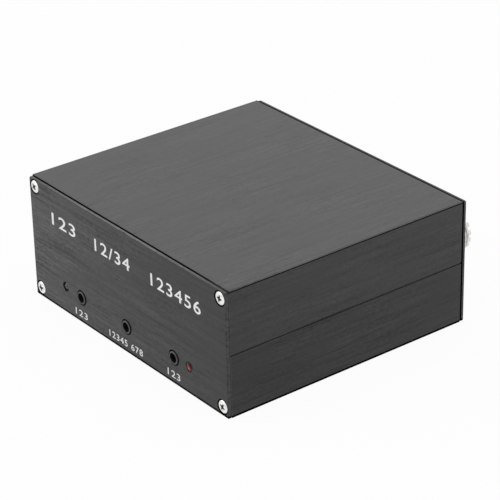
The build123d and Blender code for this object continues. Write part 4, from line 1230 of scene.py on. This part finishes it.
class BOX_OT_receiver_socket(bpy.types.Operator):
    """Models the receiver socket: threaded barrel, hexagon nut and toothed washer"""

    bl_idname = "changeover_box.receiver_socket"
    bl_label = "Receiver Socket"

    def execute(self, context):
        finishes, _, sockets, _ = settings_of(context)
        gold = metal_finish("gold_plate", finishes.gold, 0.22)
        place = socket_place("receiver_socket_body")
        for name, node, model in (
            ("receiver_barrel", "receiver_socket_body", self.barrel),
            ("receiver_nut", "receiver_socket_nut", self.nut),
            ("receiver_washer", "receiver_socket_washer", self.washer),
        ):
            fit(set_down(model(sockets), place, "rear"), name, "gold_plate", gold, node)
        for name in ("aerial", "transceiver", "receiver"):
            dress(gold, f"{name}_socket_contact")
        return {"FINISHED"}

    def barrel(self, sockets):
        back, reach = span_of("receiver_socket_body")
        panel_back, _ = span_of("rear_panel")
        thread, relief, bore, across, pitch = in_mm(
            sockets, "small_thread", "small_relief", "small_bore", "small_across", "small_pitch"
        )
        under_nut = (sockets.washer_height + sockets.small_nut) / MM
        step = 0.4
        piece = turned([
            (bore, back + step), (relief, back + step), (relief, under_nut), (thread, under_nut),
            (thread, reach - step), (thread - step, reach), (bore, reach),
        ], 48, closed=True)
        first, last = under_nut + pitch * 0.6, reach - pitch * 0.5
        cut_thread(piece, thread, pitch * 0.5, pitch, first, last, 32)
        collar = hexagon_block(across, back, panel_back)
        drilled(collar, bore, back - 1, panel_back + 1)
        weld(piece, collar)
        ease(piece, 0.05)
        return piece

    def nut(self, sockets):
        low, height, across, relief = in_mm(
            sockets, "washer_height", "small_nut", "small_across", "small_relief"
        )
        high = low + height
        piece = hexagon_block(across, low, high)
        drilled(piece, relief + 0.05, low - 1, high + 1)
        ease(piece, 0.06)
        return piece

    def washer(self, sockets):
        """A lock washer with teeth turned inwards."""
        high, radius, thread = in_mm(sockets, "washer_height", "washer", "small_thread")
        bore = thread + 0.1
        piece = turned([(bore, 0), (radius, 0), (radius, high), (bore, high)], 48, closed=True)
        half_gap, over = 0.16, 0.5
        slot = boxed((bore - over, -half_gap, -over), (bore + 0.55, half_gap, high + over))
        cut(piece, around(slot, 12))
        ease(piece, 0.04)
        return piece


class BOX_OT_key_socket(bpy.types.Operator):
    """Models the phono socket's shell, with its flange and its rolled lip"""

    bl_idname = "changeover_box.key_socket"
    bl_label = "Key Socket"

    def execute(self, context):
        nickel = finish_called("nickel_plate")
        low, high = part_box("key_socket_shell")
        back, reach = span_of("key_socket_shell")
        flange = (high.x - low.x) / 2 / MM
        bore, tail, inner, outer = 2.55, 3.4, 3.65, 4.15
        seat, lip = 1.4, reach - 0.3
        piece = turned([
            (bore, back), (tail, back), (tail, 0), (flange, 0), (flange, seat - 0.25),
            (flange - 0.25, seat), (outer, seat), (outer, lip), (4.02, reach), (3.72, reach),
            (inner, lip), (inner, seat), (bore, seat),
        ], 56, closed=True)
        ease(piece, 0.06)
        set_down(piece, socket_place("key_socket_shell"), "rear")
        fit(piece, "key_socket_skirt", "nickel_plate", nickel, "key_socket_shell")
        dress(nickel, "key_socket_nut", "key_socket_contact")
        dress(nickel, "supply_inlet_pin", "supply_inlet_spring")
        return {"FINISHED"}


class BOX_OT_mouldings(bpy.types.Operator):
    """Finishes the supply inlet, the insulators and the leads"""

    bl_idname = "changeover_box.mouldings"
    bl_label = "Mouldings and Leads"

    def execute(self, context):
        black = moulded_finish("black_plastic", (0.010, 0.010, 0.011), (0.020, 0.020, 0.021), 0.45)
        dress(black, "supply_inlet_housing", "relay_diodes")
        white = moulded_finish(
            "white_insulator", (0.74, 0.73, 0.69), (0.84, 0.83, 0.80), 0.40, 0.0006
        )
        for name in ("aerial", "transceiver", "receiver", "key"):
            dress(white, f"{name}_socket_insulator")
        jacket = moulded_finish("lead_jacket", (0.10, 0.045, 0.022), (0.15, 0.070, 0.035), 0.42)
        dress(jacket, "aerial_lead", "transceiver_lead", "receiver_lead", "key_wire")
        return {"FINISHED"}


class BOX_OT_board(bpy.types.Operator):
    """Finishes the circuit board, its regulator and resistors, and models its capacitors"""

    bl_idname = "changeover_box.board"
    bl_label = "Board and Small Parts"

    def execute(self, context):
        finishes = context.scene.box_finishes
        dress(board_finish("board_laminate"), "main_board")
        self.stand_capacitors()
        self.finish_regulator(finishes)
        first_band, band_pitch, band_width = -0.0019, 0.0012, 0.0003
        lacquer = banded_finish(
            "resistor_lacquer",
            (0.16, 0.36, 0.52),
            ((0.35, 0.12, 0.03), (0.01, 0.01, 0.01), (0.55, 0.03, 0.02), (0.62, 0.42, 0.08)),
            "X", middle_of("resistors").x + first_band, band_pitch, band_width,
        )
        dress(lacquer, "resistors")
        return {"FINISHED"}

    def stand_capacitors(self):
        """Models three cans with a sleeve groove and a vent cross on top."""
        low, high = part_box("supply_capacitors")
        radius = (high.x - low.x) / 2 / MM
        height = (high.z - low.z) / MM
        waist = radius - 0.22
        can = turned([
            (0, 0), (radius - 0.5, 0), (radius, 0.4), (radius, 1.2), (waist, 1.5), (waist, 1.8),
            (radius, 2.1), (radius, height - 0.5), (radius - 0.12, height - 0.16),
            (radius - 0.45, height), (radius - 0.75, height - 0.12), (0, height - 0.12),
        ], 40)
        for turn in (0, QUARTER_TURN):
            groove = boxed((-radius * 0.6, -0.12, height - 0.35), (radius * 0.6, 0.12, height + 1))
            cut(can, set_down(groove, (0, 0, 0), "up", turn))
        lid = 0.0006
        recipe = new_finish("capacitor_sleeve")
        _, _, z = recipe.place()
        bare = z.beyond(high.z - lid)
        finish = recipe.surface({
            "Base Color": recipe.mixed(bare, (0.012, 0.014, 0.035), (0.62, 0.62, 0.62)),
            "Metallic": bare,
            **recipe.skin(0.0005, 0.1, 0.25),
        })
        middle = (low + high) / 2
        span = high.y - low.y - 2 * radius * MM
        cans = [
            set_down(copy_of(can), (middle.x, middle.y + step * span, low.z))
            for step in (-0.5, 0.0, 0.5)
        ]
        fit(joined(cans), "capacitor_cans", "capacitor_sleeve", finish, "supply_capacitors")
        bpy.data.objects.remove(can)

    def finish_regulator(self, finishes):
        """Black package in front of a tinned tab."""
        tab_depth, leg_height = 0.0013, 0.0025
        recipe = new_finish("regulator_package")
        _, y, z = recipe.place()
        tab = y.beyond(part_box("regulator")[1].y - tab_depth)
        legs = 1.0 - z.beyond(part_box("main_board")[1].z + leg_height)
        metal = tab.higher(legs)
        finish = recipe.surface({
            "Base Color": recipe.mixed(metal, (0.012, 0.012, 0.013), tuple(finishes.tin)),
            "Metallic": metal,
            **recipe.skin(0.0004, 0.14, 0.32, 0.4),
        })
        dress(finish, "regulator")


class BOX_OT_relays(bpy.types.Operator):
    """Finishes both relays, cover, coil, iron and contacts"""

    bl_idname = "changeover_box.relays"
    bl_label = "Relays"

    def execute(self, context):
        cover = moulded_finish(
            "relay_cover_plastic", (0.012, 0.055, 0.30), (0.018, 0.075, 0.36), 0.3
        )
        plastic = moulded_finish(
            "relay_black_plastic", (0.012, 0.012, 0.013), (0.02, 0.02, 0.022), 0.5
        )
        iron = metal_finish("plated_iron", (0.52, 0.52, 0.50), 0.36)
        wire = wound_finish("copper_winding", (0.62, 0.22, 0.08), 0.00014, "Z")
        bronze = metal_finish("contact_bronze", (0.72, 0.46, 0.25), 0.30)
        for relay in ("aerial_relay", "receiver_relay"):
            dress(cover, f"{relay}_cover")
            dress(plastic, f"{relay}_base", f"{relay}_bobbin")
            dress(iron, f"{relay}_yoke", f"{relay}_armature")
            dress(wire, f"{relay}_winding")
            dress(bronze, f"{relay}_contact_spring", f"{relay}_terminals")
        return {"FINISHED"}


class BOX_OT_stage(bpy.types.Operator):
    """Sets the floor, the even light, two soft lamps and the camera"""

    bl_idname = "changeover_box.stage"
    bl_label = "Stage"

    def execute(self, context):
        stage = context.scene.box_stage
        self.lay_floor(stage)
        self.light_world(context, stage)
        self.hang_lamp("overhead_lamp", (0.0, 0.25, 1.5), (0, 0, 0), 1.6, stage.overhead)
        self.hang_lamp("side_lamp", (-1.1, -1.2, 0.75), (0, 0, 0.02), 1.0, stage.side)
        self.place_camera(context, stage)
        context.scene.view_settings.view_transform = "Standard"
        return {"FINISHED"}

    def lay_floor(self, stage):
        clear_selection()
        bpy.ops.mesh.primitive_plane_add(size=6.0, location=(0, 0, 0))
        floor = bpy.context.object
        floor.name = "floor"
        recipe = new_finish("floor_paper")
        fibre = recipe.noise(0.02)
        paper = recipe.node("ShaderNodeBsdfPrincipled", {}, {
            "Base Color": recipe.mixed(fibre, tint(stage.floor, 0.98), tint(stage.floor, 1.02)),
            "Roughness": 0.9,
            "Specular IOR Level": 0.1,
        })
        glow = recipe.node("ShaderNodeEmission", {}, {"Color": WHITE_LIGHT, "Strength": 1.0})
        seen = self.seen_rays(recipe)
        mix = recipe.node(
            "ShaderNodeMixShader", {},
            {0: seen * stage.paper_glow, 1: paper.outputs[0], 2: glow.outputs[0]},
        )
        recipe.node("ShaderNodeOutputMaterial", {}, {"Surface": mix.outputs[0]})
        floor.data.materials.append(recipe.owner)

    def seen_rays(self, recipe):
        """1 for rays from the camera, or that gloss or glass sends on."""
        rays = recipe.node("ShaderNodeLightPath", {}, {})
        camera, glossy, clear = (
            Reading(recipe, rays.outputs[name])
            for name in ("Is Camera Ray", "Is Glossy Ray", "Is Transmission Ray")
        )
        return camera.higher(glossy).higher(clear)

    def light_world(self, context, stage):
        world = context.scene.world or bpy.data.worlds.new("studio")
        context.scene.world = world
        recipe = Recipe(world)
        strength = self.seen_rays(recipe) * (1.0 - stage.sky) + stage.sky
        sky = recipe.node("ShaderNodeBackground", {}, {"Color": WHITE_LIGHT, "Strength": strength})
        recipe.node("ShaderNodeOutputWorld", {}, {"Surface": sky.outputs[0]})

    def hang_lamp(self, name, place, aim, size, power):
        clear_selection()
        bpy.ops.object.light_add(type="AREA", location=place)
        lamp = bpy.context.object
        lamp.name = name
        lamp.data.shape = "SQUARE"
        lamp.data.size = size
        lamp.data.energy = power
        lamp.rotation_euler = (Vector(aim) - Vector(place)).to_track_quat("-Z", "Y").to_euler()

    def place_camera(self, context, stage):
        across, up = stage.azimuth, stage.elevation
        back = Vector((sin(across) * cos(up), -cos(across) * cos(up), sin(up)))
        level = Vector((0, 0, 1)).cross(back).normalized()
        rise = back.cross(level)
        right = level * cos(stage.roll) + rise * sin(stage.roll)
        upward = rise * cos(stage.roll) - level * sin(stage.roll)
        target = Vector((stage.view_x, 0, stage.view_z))
        eye = target + back * stage.distance
        clear_selection()
        bpy.ops.object.camera_add(location=eye)
        camera = bpy.context.object
        camera.name = "view_camera"
        turn = Matrix((right, upward, back)).transposed().to_4x4()
        camera.matrix_world = Matrix.Translation(eye) @ turn
        camera.data.lens = stage.lens
        camera.data.sensor_width = 36.0
        camera.data.clip_start, camera.data.clip_end = 0.05, 20.0
        camera.data.dof.use_dof = False
        context.scene.camera = camera


STEPS = (
    BOX_OT_shells, BOX_OT_panels, BOX_OT_corner_screws, BOX_OT_jacks, BOX_OT_lamps,
    BOX_OT_markings, BOX_OT_radio_sockets, BOX_OT_flange_screws, BOX_OT_receiver_socket,
    BOX_OT_key_socket, BOX_OT_mouldings, BOX_OT_board, BOX_OT_relays, BOX_OT_stage,
)


class BOX_PT_steps(bpy.types.Panel):
    """Lists every step of dressing the box"""

    bl_idname = "BOX_PT_steps"
    bl_label = "Changeover Box"
    bl_space_type = "VIEW_3D"
    bl_region_type = "UI"
    bl_category = "Changeover Box"

    def draw(self, context):
        for group in settings_of(context):
            column = self.layout.column()
            for name in group.__annotations__:
                column.prop(group, name)
        for step in STEPS:
            self.layout.operator(step.bl_idname)


SETTINGS = {
    "box_finishes": BoxFinishSettings,
    "box_fittings": BoxFittingSettings,
    "box_sockets": BoxSocketSettings,
    "box_stage": BoxStageSettings,
}
CLASSES = (*SETTINGS.values(), *STEPS, BOX_PT_steps)


def register():
    for each in CLASSES:
        bpy.utils.register_class(each)
    for name, group in SETTINGS.items():
        setattr(bpy.types.Scene, name, bpy.props.PointerProperty(type=group))


def unregister():
    for name in SETTINGS:
        delattr(bpy.types.Scene, name)
    for each in reversed(CLASSES):
        bpy.utils.unregister_class(each)


def main():
    register()
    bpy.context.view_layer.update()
    for step in STEPS:
        family, name = step.bl_idname.split(".")
        getattr(getattr(bpy.ops, family), name)()
    bpy.context.view_layer.update()


if __name__ == "__main__":
    main()
